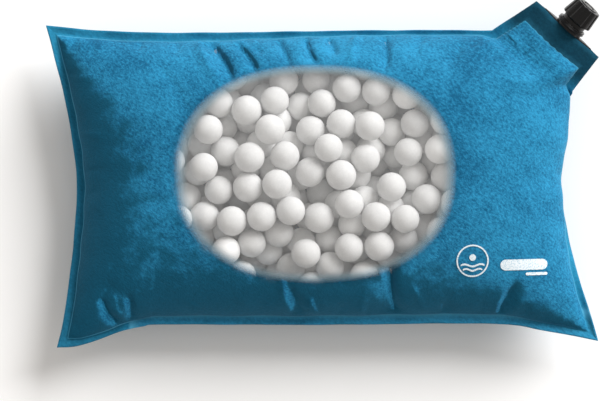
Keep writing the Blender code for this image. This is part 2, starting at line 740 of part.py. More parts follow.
def build_fill(shell, parts, cutters):
    foam = material("white_foam", (0.72, 0.72, 0.73), 0.6)
    bulk = add_object("ball_fill", shell.fill(), parts, foam)
    recess = add_prism("fill_recess", window_outline(BALL_DIAMETER / 2), FILL_FLOOR, CUT_TOP,
                       cutters)
    boolean(bulk, recess, "DIFFERENCE")
    bm = bmesh.new()
    bmesh.ops.create_icosphere(bm, subdivisions=2, radius=1)
    ball = mesh_from("ball", bm)
    ball.materials.append(foam)
    centres, radii = settle_balls(shell)
    for k, (centre, radius) in enumerate(zip(centres, radii)):
        obj = add_object(f"fill_ball_{k + 1:02d}", ball, parts)
        obj.location = centre
        obj.scale = (radius, radius, radius)


def build_valve(parts, cutters):
    plastic = material("black_plastic", (0.012, 0.012, 0.013), 0.35)
    rubber = material("black_rubber", (0.02, 0.02, 0.02), 0.7)
    axis = add_object("valve_axis", None, parts)
    axis.location = (*TAB_CENTRE, float(weld_height(TAB_CENTRE)))
    heading = math.atan2(TAB_OUT[1], TAB_OUT[0])
    axis.rotation_euler = (VALVE_TILT - math.pi / 2, 0, heading - math.pi / 2)
    add_valve_body(parts, cutters, axis, plastic)
    add_collar(parts, axis, plastic)
    add_grille(parts, cutters, axis, plastic)
    add_pintle(parts, cutters, axis, plastic, rubber)
    add_knob(parts, cutters, axis, plastic, rubber)


def main():
    clear_scene()
    parts = new_collection("camp_pillow")
    cutters = new_collection("cutters")
    shell = Shell()
    build_panels(shell, parts, cutters)
    build_fill(shell, parts, cutters)
    build_valve(parts, cutters)


main()
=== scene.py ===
"""Looks of the camp pillow: simulated suede covers, film, foam balls, printed mark and valve."""

import json
import math

import bmesh
import bpy
import numpy as np
from mathutils import Matrix, Vector
from mathutils.bvhtree import BVHTree
from mathutils.kdtree import KDTree


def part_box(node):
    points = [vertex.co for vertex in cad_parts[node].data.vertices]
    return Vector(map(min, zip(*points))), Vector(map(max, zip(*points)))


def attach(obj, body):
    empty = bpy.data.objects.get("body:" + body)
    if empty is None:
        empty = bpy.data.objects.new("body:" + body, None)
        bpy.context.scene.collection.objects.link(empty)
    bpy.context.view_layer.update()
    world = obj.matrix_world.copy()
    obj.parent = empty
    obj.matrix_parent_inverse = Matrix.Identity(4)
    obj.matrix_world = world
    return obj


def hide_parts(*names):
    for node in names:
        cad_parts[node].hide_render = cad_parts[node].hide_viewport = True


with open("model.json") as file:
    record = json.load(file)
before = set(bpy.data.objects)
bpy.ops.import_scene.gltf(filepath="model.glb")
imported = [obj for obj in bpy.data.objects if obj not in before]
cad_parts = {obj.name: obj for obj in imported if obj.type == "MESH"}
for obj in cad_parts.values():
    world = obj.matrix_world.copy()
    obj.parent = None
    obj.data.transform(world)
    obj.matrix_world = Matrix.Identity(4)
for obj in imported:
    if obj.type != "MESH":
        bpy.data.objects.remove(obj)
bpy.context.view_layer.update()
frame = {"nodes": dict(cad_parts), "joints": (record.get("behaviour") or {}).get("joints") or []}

scene = bpy.context.scene

# --- Sizes of the panels, in metres, as in the CAD ---

# Corners of the welded edge and the points between them, seen from above; front is -Y
FRONT_LEFT = (-0.24, -0.153)
FRONT_RIGHT = (0.25, -0.147)
BACK_LEFT = (-0.25, 0.1385)
TAB_ROOT_RIGHT = (0.2265, 0.079)
TAB_ROOT_LEFT = (0.154, 0.134)
TAB_RIGHT = (0.249, 0.109)
TAB_LEFT = (0.193, 0.1595)
FRONT_WAIST = [(-0.224, -0.1521), (-0.202, -0.1458), (-0.182, -0.1382), (-0.162, -0.1338),
               (-0.14, -0.1322), (0.0, -0.1325), (0.15, -0.1315), (0.2, -0.1375)]
RIGHT_WAIST = [(0.229, -0.074), (0.219, -0.01), (0.224, 0.03)]
BACK_WAIST = [(0.05, 0.134), (-0.1, 0.132), (-0.17, 0.1325), (-0.215, 0.135)]
LEFT_WAIST = [(-0.2335, 0.0745), (-0.223, 0.01), (-0.2235, -0.04), (-0.232, -0.115)]

WELD_HEIGHT = 0.044
TOP_RISE = 0.057
BOTTOM_DROP = 0.062
LONG_POWER = 3.4
CROSS_POWER = 2.35
CROWN_ROUNDNESS = 0.58
LAYERS = 0.0013  # from a panel's inner face out to the face of its fabric
PRESSED = 0.0007  # the same in the welded flange, from its middle
FABRIC = 0.0006
FILM = 0.0003
FLANGE_LIFT = 0.0016
RIGHT_FLANGE = 0.006
WELD_WAVER = 0.0004
HUNG_FLANGE = 0.0013  # what shows of the right flange where it hangs down
LEFT_DRAWN = 0.0024  # how much narrower the left flange is halfway along
BACK_DRAWN = 0.0034  # and the back flange towards the tab
FLANGE_ROWS = 4

VALVE_TILT = math.radians(18)
TAB_FOLD = 0.045
TAB_END_FLANGE = 0.0185
BOAT_HALF_LENGTH = 0.028
BOAT_HALF_THICKNESS = 0.0066
BOAT_ROOM = 0.001
TAB_CENTRE = (np.array(TAB_RIGHT) + np.array(TAB_LEFT)) / 2
TAB_EDGE = (np.array(TAB_LEFT) - np.array(TAB_RIGHT)) / math.dist(TAB_LEFT, TAB_RIGHT)
TAB_OUT = np.array([TAB_EDGE[1], -TAB_EDGE[0]])

# The cutaway is a little larger than the CAD's, because its edge fades out
WINDOW_CENTRE = (-0.0065, 0.004)
WINDOW_HALF = (0.1225, 0.0955)
WINDOW_POWER = 2.3
WINDOW_CLEAR = 0.905  # the cover is cut here, as a share of the window's size
WINDOW_SOLID = 1.075  # and it hides all that is under it from here

# Each run of the edge, anticlockwise: its points, its flange's width and its cells
EDGE_RUNS = {
    "front": ([FRONT_LEFT, *FRONT_WAIST, FRONT_RIGHT], 0.0065, 240),
    "right": ([FRONT_RIGHT, *RIGHT_WAIST, TAB_ROOT_RIGHT], RIGHT_FLANGE, 80),
    "tab_right": ([TAB_ROOT_RIGHT, TAB_RIGHT], 0.008, 20),
    "tab_end": ([TAB_RIGHT, TAB_LEFT], TAB_END_FLANGE, 60),
    "tab_left": ([TAB_LEFT, TAB_ROOT_LEFT], 0.008, 30),
    "back": ([TAB_ROOT_LEFT, *BACK_WAIST, BACK_LEFT], 0.0072, 210),
    "left": ([BACK_LEFT, *LEFT_WAIST, FRONT_LEFT], 0.007, 160),
}
DENSE_CELLS = 2  # this many cells beside a weld are cut into DENSE_ROWS finer ones
DENSE_ROWS = 6


# --- Meshes ---

def linked(name, data):
    obj = bpy.data.objects.new(name, data)
    scene.collection.objects.link(obj)
    return obj


def add_mesh(name, verts, faces, mat):
    mesh = bpy.data.meshes.new(name)
    mesh.from_pydata([tuple(v) for v in verts], [], [list(f) for f in faces])
    mesh.validate()
    mesh.shade_smooth()
    mesh.materials.append(mat)
    return linked(name, mesh)


def cleaned(obj, merge=0):
    """The object with its doubled points merged and its faces all turned outwards."""
    bm = bmesh.new()
    bm.from_mesh(obj.data)
    if merge:
        bmesh.ops.remove_doubles(bm, verts=bm.verts, dist=merge)
    bmesh.ops.recalc_face_normals(bm, faces=bm.faces)
    bm.to_mesh(obj.data)
    bm.free()
    return obj


def band(first, second, count):
    """Faces between two closed rings of points, from the numbers of their first points."""
    ring = [(s, (s + 1) % count) for s in range(count)]
    return [(first + s, first + t, second + t, second + s) for s, t in ring]


def applied(obj):
    """The object with its modifiers made part of its mesh."""
    graph = bpy.context.evaluated_depsgraph_get()
    mesh = bpy.data.meshes.new_from_object(obj.evaluated_get(graph))
    obj.modifiers.clear()
    obj.data = mesh
    return obj


def smoothstep(low, high, value):
    t = np.clip((value - low) / (high - low), 0, 1)
    return t * t * (3 - 2 * t)


# --- Net of points that both panels share ---

def stations(cells, dense_start, dense_end):
    """Where the cell borders of a run lie, in cells, with finer rows beside a dense end."""
    near = DENSE_CELLS * (np.arange(DENSE_ROWS) / DENSE_ROWS) ** 2
    first = near if dense_start else np.arange(DENSE_CELLS)
    last = cells - near[::-1] if dense_end else cells - np.arange(DENSE_CELLS)[::-1]
    return np.concatenate([first, np.arange(DENSE_CELLS, cells - DENSE_CELLS + 1), last])


def smooth_run(points, fractions):
    """Points at these fractions of the length of a smooth curve through the given points."""
    knots = np.array(points)
    padded = np.vstack([2 * knots[0] - knots[1], knots, 2 * knots[-1] - knots[-2]])
    t = np.linspace(0, 1, 32, endpoint=False)[:, None]
    pieces = [
        b + t / 2 * (c - a + t * (2 * a - 5 * b + 4 * c - d + t * (3 * (b - c) + d - a)))
        for a, b, c, d in zip(padded, padded[1:], padded[2:], padded[3:])
    ]
    fine = np.vstack([*pieces, knots[-1:]])
    along = np.append(0, np.cumsum(np.linalg.norm(np.diff(fine, axis=0), axis=1)))
    return np.column_stack([np.interp(fractions * along[-1], along, fine[:, k]) for k in (0, 1)])


def headings(points):
    steps = np.gradient(points, axis=0)
    return steps / np.linalg.norm(steps, axis=1)[:, None]


def moved_in(points, width):
    ahead = headings(points)
    return points + width * np.column_stack([-ahead[:, 1], ahead[:, 0]])


def hang_share(y):
    """How far the flange of the right side hangs down: the fill pushes that side out over it."""
    return smoothstep(-0.115, -0.02, y) * (1 - smoothstep(0.068, 0.079, y))


def weld_corner(before, width_before, after, width_after):
    """Where the weld lines of two runs cross beside the corner that the runs share."""
    first = moved_in(before, width_before)[-1]
    second = moved_in(after, width_after)[0]
    ahead, on = headings(before)[-1], headings(after)[0]
    share = np.linalg.solve(np.column_stack([ahead, -on]), second - first)
    return first + share[0] * ahead


def edge_and_weld():
    """The outer edge and the weld line inside it, run by run, and the runs' stations."""
    dense = {"front": (True, True), "right": (True, False), "tab_end": (False, True),
             "tab_left": (True, False), "back": (False, True), "left": (True, True)}
    at = {name: stations(cells, *dense.get(name, (False, False)))
          for name, (_, _, cells) in EDGE_RUNS.items()}
    outer = [smooth_run(points, at[name] / cells)
             for name, (points, _, cells) in EDGE_RUNS.items()]
    widths = [width for _, width, _ in EDGE_RUNS.values()]
    corners = [weld_corner(outer[k - 1], widths[k - 1], outer[k], widths[k])
               for k in range(len(outer))]
    weld = []
    for k, (name, run, width) in enumerate(zip(EDGE_RUNS, outer, widths)):
        where = at[name]
        t = where / where[-1]
        drawn = {
            "right": (width - HUNG_FLANGE) * hang_share(run[:, 1]),
            "left": LEFT_DRAWN * np.sin(np.pi * t) ** 0.5,
            "back": BACK_DRAWN * smoothstep(0, 0.04, t) * (1 - smoothstep(0.3, 0.8, t)),
        }.get(name, 0 * t)
        width = (width - drawn + WELD_WAVER * np.sin(17 * np.pi * t) * np.sin(np.pi * t))[:, None]
        line = moved_in(run, width)
        ends = corners[k] - line[0], corners[(k + 1) % len(outer)] - line[-1]
        weld.append(line + (1 - t)[:, None] * ends[0] + t[:, None] * ends[1])
    return dict(zip(EDGE_RUNS, outer)), dict(zip(EDGE_RUNS, weld)), at


def four_sides(runs):
    """The front and back sides from left to right, and the left and right ones to the back."""
    right = np.vstack([runs["right"], runs["tab_right"][1:], runs["tab_end"][1:]])
    back = np.vstack([runs["tab_left"], runs["back"][1:]])[::-1]
    return runs["front"], right, back, runs["left"][::-1]


def coons_patch(front, right, back, left, u, v):
    """The net of points that blends four sides."""
    u, v = u[:, None, None], v[None, :, None]
    across = (1 - v) * front[:, None] + v * back[:, None]
    along = (1 - u) * left[None] + u * right[None]
    corners = (1 - u) * ((1 - v) * front[0] + v * back[0])
    corners = corners + u * ((1 - v) * front[-1] + v * back[-1])
    return across + along - corners


def share_of_length(points, axis):
    """How far each point is along its row, from -1 to 1 by length."""
    steps = np.linalg.norm(np.diff(points, axis=axis), axis=2)
    start = np.zeros_like(steps.take([0], axis=axis))
    along = np.concatenate([start, np.cumsum(steps, axis=axis)], axis=axis)
    return 2 * along / along.take([-1], axis=axis) - 1


def border(net):
    """The border points of a net in order, anticlockwise."""
    return np.concatenate([net[:-1, 0], net[-1, :-1], net[:0:-1, -1], net[0, :0:-1]])


def tab_share(xy):
    """1 in the tab's flange, fading to 0 at the line where the tab folds up."""
    depth = (TAB_CENTRE - xy) @ TAB_OUT
    return 1 - smoothstep(TAB_END_FLANGE, TAB_FOLD, depth)


def weld_height(xy):
    return WELD_HEIGHT + math.tan(VALVE_TILT) * np.maximum(0, TAB_FOLD - (TAB_CENTRE - xy) @ TAB_OUT)


def boat_room(xy):
    """Half of the opening that the panels leave between them for the valve's boat."""
    across = (xy - TAB_CENTRE) @ TAB_EDGE / (BOAT_HALF_LENGTH + 3 * BOAT_ROOM)
    return (BOAT_HALF_THICKNESS + BOAT_ROOM) * np.maximum(0, 1 - across**2) * tab_share(xy)


class Net:
    """Points seen from above, how far each has risen, and the ring of points round the flange."""

    def __init__(self):
        outer, weld, at = edge_and_weld()
        u = at["front"] / at["front"][-1]
        v = at["left"] / at["left"][-1]
        self.xy = coons_patch(*four_sides(weld), u, v)
        across = share_of_length(self.xy, 0)
        along = share_of_length(self.xy, 1)
        dome = (1 - np.abs(across) ** LONG_POWER) * (1 - np.abs(along) ** CROSS_POWER)
        self.rise = np.clip(dome, 0, 1) ** CROWN_ROUNDNESS
        self.ring = border(coons_patch(*four_sides(outer), u, v))
        self.weld = border(self.xy)
        self.inward = self.distance_to_weld()

    def distance_to_weld(self):
        """How far each point is from the weld, seen from above."""
        on = np.roll(self.weld, -1, axis=0)
        fine = np.vstack([self.weld + (on - self.weld) * k / 8 for k in range(8)])
        tree = KDTree(len(fine))
        for k, (x, y) in enumerate(fine):
            tree.insert((x, y, 0), k)
        tree.balance()
        nearest = [tree.find((x, y, 0))[2] for x, y in self.xy.reshape(-1, 2)]
        return np.reshape(nearest, self.rise.shape)


def normals_of(points, side):
    normal = side * np.cross(np.gradient(points, axis=0), np.gradient(points, axis=1))
    return normal / np.maximum(np.linalg.norm(normal, axis=2), 1e-12)[..., None]


def panel_points(net, side):
    """Points on the outer face of the top cover (side 1) or of the bottom one (side -1)."""
    opening = side * boat_room(net.xy)
    height = weld_height(net.xy) + opening * math.cos(VALVE_TILT)
    if side > 0:
        height = height + TOP_RISE * net.rise
    else:
        height = np.maximum(LAYERS, height - BOTTOM_DROP * net.rise)
    leaned = net.xy - (opening * math.sin(VALVE_TILT))[..., None] * TAB_OUT
    points = np.concatenate([leaned, height[..., None]], axis=-1)
    free = smoothstep(0, 0.3, net.rise)[..., None]
    up = np.array([0, 0, side * PRESSED])
    return points + free * LAYERS * normals_of(points, side) + (1 - free) * up


# --- Creases ---

# Folds that run in from the weld: start, end, half width and height, with valleys below 0
TOP_CREASES = [
    ((-0.103, 0.126), (-0.079, 0.083), 0.0048, -0.0072),
    ((-0.111, 0.123), (-0.09, 0.086), 0.0046, 0.003),
    ((-0.083, 0.127), (-0.056, 0.108), 0.0038, 0.0036),
    ((-0.073, 0.127), (-0.052, 0.111), 0.0036, -0.004),
    ((-0.073, 0.117), (-0.058, 0.092), 0.004, -0.0056),
    ((-0.0715, 0.096), (-0.0655, 0.087), 0.003, -0.0014),
    ((-0.041, 0.126), (-0.029, 0.098), 0.004, -0.0044),
    ((-0.014, 0.125), (-0.003, 0.1), 0.0038, -0.0056),
    ((0.004, 0.128), (0.0125, 0.109), 0.0034, -0.0044),
    ((0.03, 0.124), (0.028, 0.101), 0.004, 0.0024),
    ((0.057, 0.125), (0.054, 0.093), 0.0042, -0.0044),
    ((0.09, 0.124), (0.085, 0.106), 0.004, -0.0016),
    ((0.124, 0.118), (0.113, 0.101), 0.0044, -0.0016),
    ((-0.109, 0.125), (-0.103, 0.114), 0.003, -0.002),
    ((-0.133, 0.126), (-0.129, 0.111), 0.0036, -0.0018),
    ((-0.16, 0.126), (-0.165, 0.114), 0.0038, -0.0024),
    ((-0.143, 0.096), (-0.117, 0.048), 0.009, -0.0014),
    ((-0.035, -0.094), (-0.0265, -0.123), 0.0042, 0.0016),
    ((-0.027, -0.1), (-0.019, -0.124), 0.0046, -0.0024),
    ((-0.011, -0.109), (-0.0035, -0.123), 0.0034, 0.0016),
    ((0.05, -0.08), (0.062, -0.129), 0.004, 0.0016),
    ((0.061, -0.082), (0.072, -0.129), 0.0068, -0.0066),
    ((0.082, -0.1), (0.092, -0.127), 0.0052, 0.001),
    ((0.105, -0.127), (0.11, -0.11), 0.004, -0.0018),
    ((0.159, -0.129), (0.173, -0.094), 0.0044, -0.0046),
    ((0.15, -0.126), (0.164, -0.096), 0.0046, 0.0011),
    ((0.17, -0.125), (0.18, -0.106), 0.0042, 0.0014),
    ((-0.196, -0.112), (-0.181, -0.133), 0.004, -0.0032),
    ((-0.172, -0.108), (-0.174, -0.132), 0.004, -0.0022),
    ((-0.186, -0.108), (-0.179, -0.131), 0.005, 0.0008),
    ((-0.198, -0.11), (-0.185, -0.092), 0.007, -0.0014),
    ((0.224, -0.006), (0.212, 0.006), 0.0038, -0.004),
    ((0.225, -0.07), (0.213, -0.056), 0.0042, -0.002),
]
BOTTOM_CREASES = [
    ((-0.15, 0.124), (-0.132, 0.088), 0.0055, -0.003),
    ((-0.052, 0.122), (-0.06, 0.09), 0.005, -0.0024),
    ((0.04, 0.122), (0.03, 0.098), 0.0046, -0.002),
    ((0.124, 0.118), (0.106, 0.086), 0.0056, -0.0026),
    ((-0.212, 0.05), (-0.184, 0.042), 0.0056, -0.0026),
    ((-0.213, -0.05), (-0.188, -0.04), 0.005, -0.0024),
    ((-0.15, -0.125), (-0.136, -0.092), 0.0052, -0.003),
    ((-0.06, -0.124), (-0.052, -0.098), 0.0048, -0.0022),
    ((0.05, -0.123), (0.06, -0.09), 0.0056, -0.003),
    ((0.148, -0.124), (0.133, -0.093), 0.0052, -0.0028),
    ((0.212, -0.06), (0.188, -0.05), 0.005, -0.0026),
    ((0.21, 0.035), (0.185, 0.03), 0.0052, -0.0026),
]
CREASE_SHARPNESS = 1.35
CREASE_BEND = 0.3
CREASE_LEAN = 1.3  # how much wider a crease is on one side than on both on average
CREASE_FADE = 0.35  # the part of a crease's length over which it fades out inwards
RIPPLE_COUNT = 90
RIPPLE_SEED = 5


def crease_field(xy, creases):
    """How far out or in these creases take each point."""
    total = np.zeros(xy.shape[:-1])
    for k, (start, end, width, height) in enumerate(creases):
        start, end = np.array(start), np.array(end)
        length = math.dist(start, end)
        ahead = (end - start) / length
        along = (xy - start) @ ahead / length
        off = (xy - start) @ np.array([-ahead[1], ahead[0]])
        off = off - CREASE_BEND * length * (-1) ** k * np.clip(along * (1 - along), 0, 1)
        steep = np.where(off < 0, CREASE_LEAN, 2 - CREASE_LEAN)
        width_here = width * steep * (0.65 + 0.6 * np.clip(along, 0, 1))
        fade = smoothstep(-0.25, 0.05, along) * (1 - smoothstep(1 - CREASE_FADE, 1.15, along))
        total += height * fade * np.exp(-np.abs(off / width_here) ** CREASE_SHARPNESS)
    return total


def ripple_field(net, seed):
    """Small puckers square to the weld, at seeded places round it."""
    rng = np.random.default_rng(seed)
    ring = net.weld
    inwards = np.roll(ring, -3, axis=0) - np.roll(ring, 3, axis=0)
    inwards = np.column_stack([-inwards[:, 1], inwards[:, 0]])
    inwards /= np.linalg.norm(inwards, axis=1)[:, None]
    creases = []
    for _ in range(RIPPLE_COUNT):
        k = rng.integers(len(ring))
        reach = rng.uniform(0.012, 0.03)
        lean = rng.uniform(-0.35, 0.35)
        turned = inwards[k] + lean * np.array([-inwards[k][1], inwards[k][0]])
        start = ring[k] - 0.002 * inwards[k]
        creases.append((start, start + reach * turned, rng.uniform(0.0025, 0.005),
                        rng.choice([-1, 1]) * rng.uniform(0.0003, 0.001)))
    return crease_field(net.xy, creases)


# --- Cover panels ---

def net_faces(columns, rows, side):
    faces = []
    for i in range(columns - 1):
        for j in range(rows - 1):
            quad = (i * rows + j, (i + 1) * rows + j, (i + 1) * rows + j + 1, i * rows + j + 1)
            faces.append(quad[::side])
    return faces


def flange_rings(net, side, offset):
    """Rings of points from beside the weld out to the flange's edge."""
    out = net.ring - net.weld
    hang = hang_share(net.ring[:, 1]) * (net.ring[:, 0] > 0.2) * math.radians(76)
    turn = np.linspace(0, 1, len(out), endpoint=False) * 2 * math.pi
    wave = 0.0006 * np.sin(23 * turn + 0.7) + 0.0005 * np.sin(41 * turn + 2.1)
    rings = []
    for k in range(1, FLANGE_ROWS + 1):
        t = k / FLANGE_ROWS
        xy = net.weld + out * (t * np.cos(hang))[:, None]
        opening = side * boat_room(net.weld + out * t)
        height = weld_height(net.weld + out * t) + opening * math.cos(VALVE_TILT)
        height += t * t * (FLANGE_LIFT * (1 - tab_share(net.ring)) * (1 - hang) + wave)
        height -= t * RIGHT_FLANGE * np.sin(hang)
        lean = (opening + side * offset) * math.sin(VALVE_TILT) * tab_share(net.ring)
        xy = xy - lean[:, None] * TAB_OUT
        rings.append(np.column_stack([xy, height + side * offset]))
    return rings


def panel_mesh(net, points, side, offset):
    """The points and faces of one panel with its flange."""
    columns, rows = net.rise.shape
    verts = [points.reshape(-1, 3), *flange_rings(net, side, offset)]
    faces = net_faces(columns, rows, side)
    inner = border(np.arange(columns * rows).reshape(columns, rows))
    count = len(inner)
    for k in range(FLANGE_ROWS):
        outer = columns * rows + k * count + np.arange(count)
        for a in range(count):
            b = (a + 1) % count
            faces.append((outer[a], outer[b], inner[b], inner[a])[::side])
        inner = outer
    return np.vstack(verts), faces


def window_share(xy):
    """How far out a point lies from the window's middle: 1 on the window's own outline."""
    away = np.abs((xy - WINDOW_CENTRE) / WINDOW_HALF)
    return (away ** WINDOW_POWER).sum(axis=-1) ** (1 / WINDOW_POWER)


def cut_window(verts, faces, weld_and_painted_shading):
    """The panel with its middle taken out along the window's clear outline."""
    share = window_share(verts[:, :2]) / WINDOW_CLEAR
    inside = (share < 1) & (verts[:, 2] > WELD_HEIGHT + 0.02)
    kept = np.array([f for f in faces if not all(inside[list(f)])])
    rim = [k for k in np.unique(kept) if inside[k]]
    middle = np.array(WINDOW_CENTRE)
    verts[rim, :2] = middle + (verts[rim, :2] - middle) / share[rim, None]
    used = np.unique(kept)
    renumbered = np.full(len(verts), -1)
    renumbered[used] = np.arange(len(used))
    return verts[used], renumbered[kept], weld_and_painted_shading[used]


# --- Cloth simulation ---

CLOTH_FRAMES = 22
CLOTH_SLACK = 0.03  # how much longer the fabric is than the form that it covers
CLOTH_SMOOTHING = 60  # rounds that find the swelling, which is left out
CLOTH_SETTINGS = {
    "quality": 6, "mass": 0.2, "tension_stiffness": 30, "compression_stiffness": 30,
    "shear_stiffness": 12, "bending_stiffness": 0.4, "air_damping": 3,
    "use_pressure": True, "uniform_pressure_force": 3, "vertex_group_mass": "weld",
}
PUCKER_CAP = 0.0022
ROOT_EASING = 14  # rounds that ease the cover where the tab meets the right side


def smoothed(field, rounds):
    """The field evened out over its neighbours, with its border kept."""
    field = field.copy()
    for _ in range(rounds):
        inner = field[:-2, 1:-1] + field[2:, 1:-1] + field[1:-1, :-2] + field[1:-1, 2:]
        field[1:-1, 1:-1] = inner / 4
    return field


def doubled(field):
    """The field with a new value halfway between each two."""
    for axis in (0, 1):
        size = 2 * field.shape[axis] - 1
        finer = np.zeros(tuple(size if k == axis else n for k, n in enumerate(field.shape)))
        at = [slice(None)] * field.ndim
        at[axis] = slice(0, None, 2)
        finer[tuple(at)] = field
        between = field.take(range(field.shape[axis] - 1), axis)
        between = (between + field.take(range(1, field.shape[axis]), axis)) / 2
        at[axis] = slice(1, None, 2)
        finer[tuple(at)] = between
        field = finer
    return field


def simulated_puckers(points, side):
    """How far cloth, a little too long and blown up from inside, puckers out of the form."""
    rest = points[::2, ::2]
    columns, rows, _ = rest.shape
    blank = bpy.data.materials.new("blank")
    cloth_obj = add_mesh("cloth", rest.reshape(-1, 3), net_faces(columns, rows, side), blank)
    weld = cloth_obj.vertex_groups.new(name="weld")
    weld.add(border(np.arange(columns * rows).reshape(columns, rows)).tolist(), 1, "REPLACE")
    cloth_obj.shape_key_add(name="Basis")
    slack = cloth_obj.shape_key_add(name="slack")
    longer = rest.reshape(-1, 3) * (1 + CLOTH_SLACK)
    slack.data.foreach_set("co", longer.astype(np.float32).ravel())
    cloth = cloth_obj.modifiers.new("Cloth", "CLOTH")
    for setting, value in CLOTH_SETTINGS.items():
        setattr(cloth.settings, setting, value)
    cloth.settings.rest_shape_key = slack
    cloth.settings.effector_weights.gravity = 0
    cloth.point_cache.frame_start = 1
    cloth.point_cache.frame_end = CLOTH_FRAMES
    for frame_number in range(1, CLOTH_FRAMES + 1):
        scene.frame_set(frame_number)
    graph = bpy.context.evaluated_depsgraph_get()
    blown = cloth_obj.evaluated_get(graph).to_mesh()
    moved = np.empty(len(blown.vertices) * 3, np.float32)
    blown.vertices.foreach_get("co", moved)
    scene.frame_set(1)
    bpy.data.objects.remove(cloth_obj)
    bpy.data.materials.remove(blank)
    moved = moved.reshape(rest.shape) - rest
    out = (moved * normals_of(rest, side)).sum(axis=2)
    out = out - smoothed(out, CLOTH_SMOOTHING)
    return PUCKER_CAP * np.tanh(doubled(out) / PUCKER_CAP)


# --- Covers and films ---

def shaped_panel(net, side, ball_places):
    """The outer face of one cover, with its puckers and creases, lying over the top balls."""
    points = panel_points(net, side)
    out = crease_field(net.xy, TOP_CREASES if side > 0 else BOTTOM_CREASES)
    out += ripple_field(net, RIPPLE_SEED + side)
    out += simulated_puckers(points, side)
    free = smoothstep(0.0, 0.006, net.inward)
    if side > 0:
        free = free * smoothstep(0.93, 1.04, window_share(net.xy))
    else:
        free = free * smoothstep(LAYERS, 0.01, points[..., 2])
    free = free * (1 - 0.85 * tab_share(net.xy))
    points = points + (out * free)[..., None] * normals_of(points, side)
    eased = smoothed(points, ROOT_EASING)
    near_root = np.linalg.norm(net.xy - TAB_ROOT_RIGHT, axis=2)
    share = (1 - smoothstep(0.03, 0.055, near_root)) * smoothstep(0.0015, 0.008, net.inward)
    points = points + share[..., None] * (eased - points)
    for centre, radius in ball_places:
        away = points - np.array(centre)
        distance = np.linalg.norm(away, axis=2)[..., None]
        short = np.maximum(radius + LAYERS + BALL_TOUCH - distance, 0)
        points = points + short * away / distance
    return points


def make_cover(net, points, side, mat):
    verts, faces = panel_mesh(net, points, side, PRESSED)
    inner = 1 - smoothstep(0.0002, 0.0018, net.inward.reshape(-1))
    weld_and_painted_shading = np.concatenate([inner, np.ones(FLANGE_ROWS * len(net.weld))])
    x, y = verts[:, 0], verts[:, 1]
    # Painted shade: the left flange, which the dome shades from the sun, has its weld mask raised by
    # up to a half. Like the tab's flange, it is taken towards the darker flange colour.
    left = 0.5 * (1 - smoothstep(-0.19, -0.165, x)) * (1 - smoothstep(0.09, 0.125, y))
    weld_and_painted_shading = weld_and_painted_shading * (1 + np.maximum(tab_share(verts[:, :2]), left))
    # Painted light: the front flange, which lies in the dome's shade, has its weld mask lowered, so
    # that it takes more of the lighter nap colour
    front = smoothstep(-0.185, -0.16, x) * (1 - smoothstep(-0.13, -0.115, y))
    weld_and_painted_shading = weld_and_painted_shading * (1 - 0.6 * front)
    if side > 0:
        verts, faces, weld_and_painted_shading = cut_window(verts, faces, weld_and_painted_shading)
    cover = add_mesh("top_cover" if side > 0 else "bottom_cover", verts, faces, mat)
    layer = cover.data.attributes.new("weld_and_painted_shading", "FLOAT", "POINT")
    layer.data.foreach_set("value", weld_and_painted_shading.astype(np.float32))
    thickness = cover.modifiers.new("Thickness", "SOLIDIFY")
    thickness.thickness = FABRIC
    thickness.offset = -1
    return applied(cover)


FILM_SUNK = 0.0045  # keeps the film, which has no creases, under those of the cover
FILM_EASING = 16


def make_film(net, points, side, mat):
    """The airtight film just inside a cover, welded with it in the flange."""
    covered = smoothstep(0.004, 0.012, net.inward)
    if side > 0:
        covered = covered * smoothstep(1.02, 1.12, window_share(net.xy))
    inset = LAYERS - FILM + FILM_SUNK * covered
    eased = points + covered[..., None] * (smoothed(points, FILM_EASING) - points)
    coarse = (eased - inset[..., None] * normals_of(eased, side))[::2, ::2]
    columns, rows, _ = coarse.shape
    edge = border(points)[::2]
    edge[:, 2] -= side * (PRESSED - 0.00005)
    verts = coarse.reshape(-1, 3).copy()
    verts[border(np.arange(columns * rows).reshape(columns, rows))] = edge
    name = "top_film_sheet" if side > 0 else "bottom_film_sheet"
    return add_mesh(name, verts, net_faces(columns, rows, side), mat)


# --- Foam balls ---

BALL_RADIUS = 0.0131
INNER_LAYERS = 4
INNER_TOP = 0.078
INNER_SEED = 23
INNER_SHAKE = 0.01
BALL_ROUNDS = 200
FLOAT_ROUNDS = 110
FLOAT_STEP = 0.0003
BALL_TOUCH = 0.0003
INNER_ROOM = 0.002
RIM_TRIES = 6000
RIM_INNER = 0.8
RIM_OUTER = 1.3
RIM_SINK = 0.004
RIM_BOX = (-0.19, -0.14, 0), (0.19, 0.14, RIM_SINK)
SPARE_TRIES = 9000
SPARE_SIZE = 0.96
SPARE_BOX = (-0.16, -0.125, 0.03), (0.16, 0.125, 0.098)
BALL_PRESS = 0.0018  # inner balls may press into each other this far


def balls_mesh(name, balls, mat):
    """One mesh of balls, each given by its centre, radius and fineness."""
    bm = bmesh.new()
    for centre, radius, steps in balls:
        bmesh.ops.create_icosphere(bm, subdivisions=steps, radius=radius,
                                   matrix=Matrix.Translation(Vector(centre)))
    mesh = bpy.data.meshes.new(name)
    bm.to_mesh(mesh)
    bm.free()
    mesh.shade_smooth()
    mesh.materials.append(mat)
    return mesh


def top_ball_places():
    """Where each ball under the window is, and its radius, by its CAD node."""
    places = {}
    for node in sorted(n for n in frame["nodes"] if n.startswith("fill_ball_")):
        low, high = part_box(node)
        places[node] = (low + high) / 2, max(high - low) / 2
    return places


def make_top_balls(places, mat):
    sphere = balls_mesh("ball", [((0, 0, 0), 1, 4)], mat)
    for node, (centre, radius) in places.items():
        ball = linked(node.replace("fill_ball", "foam_ball"), sphere)
        ball.matrix_world = Matrix.Translation(centre) @ Matrix.Scale(radius, 4)
        place(ball, "pillow", "foam", node)


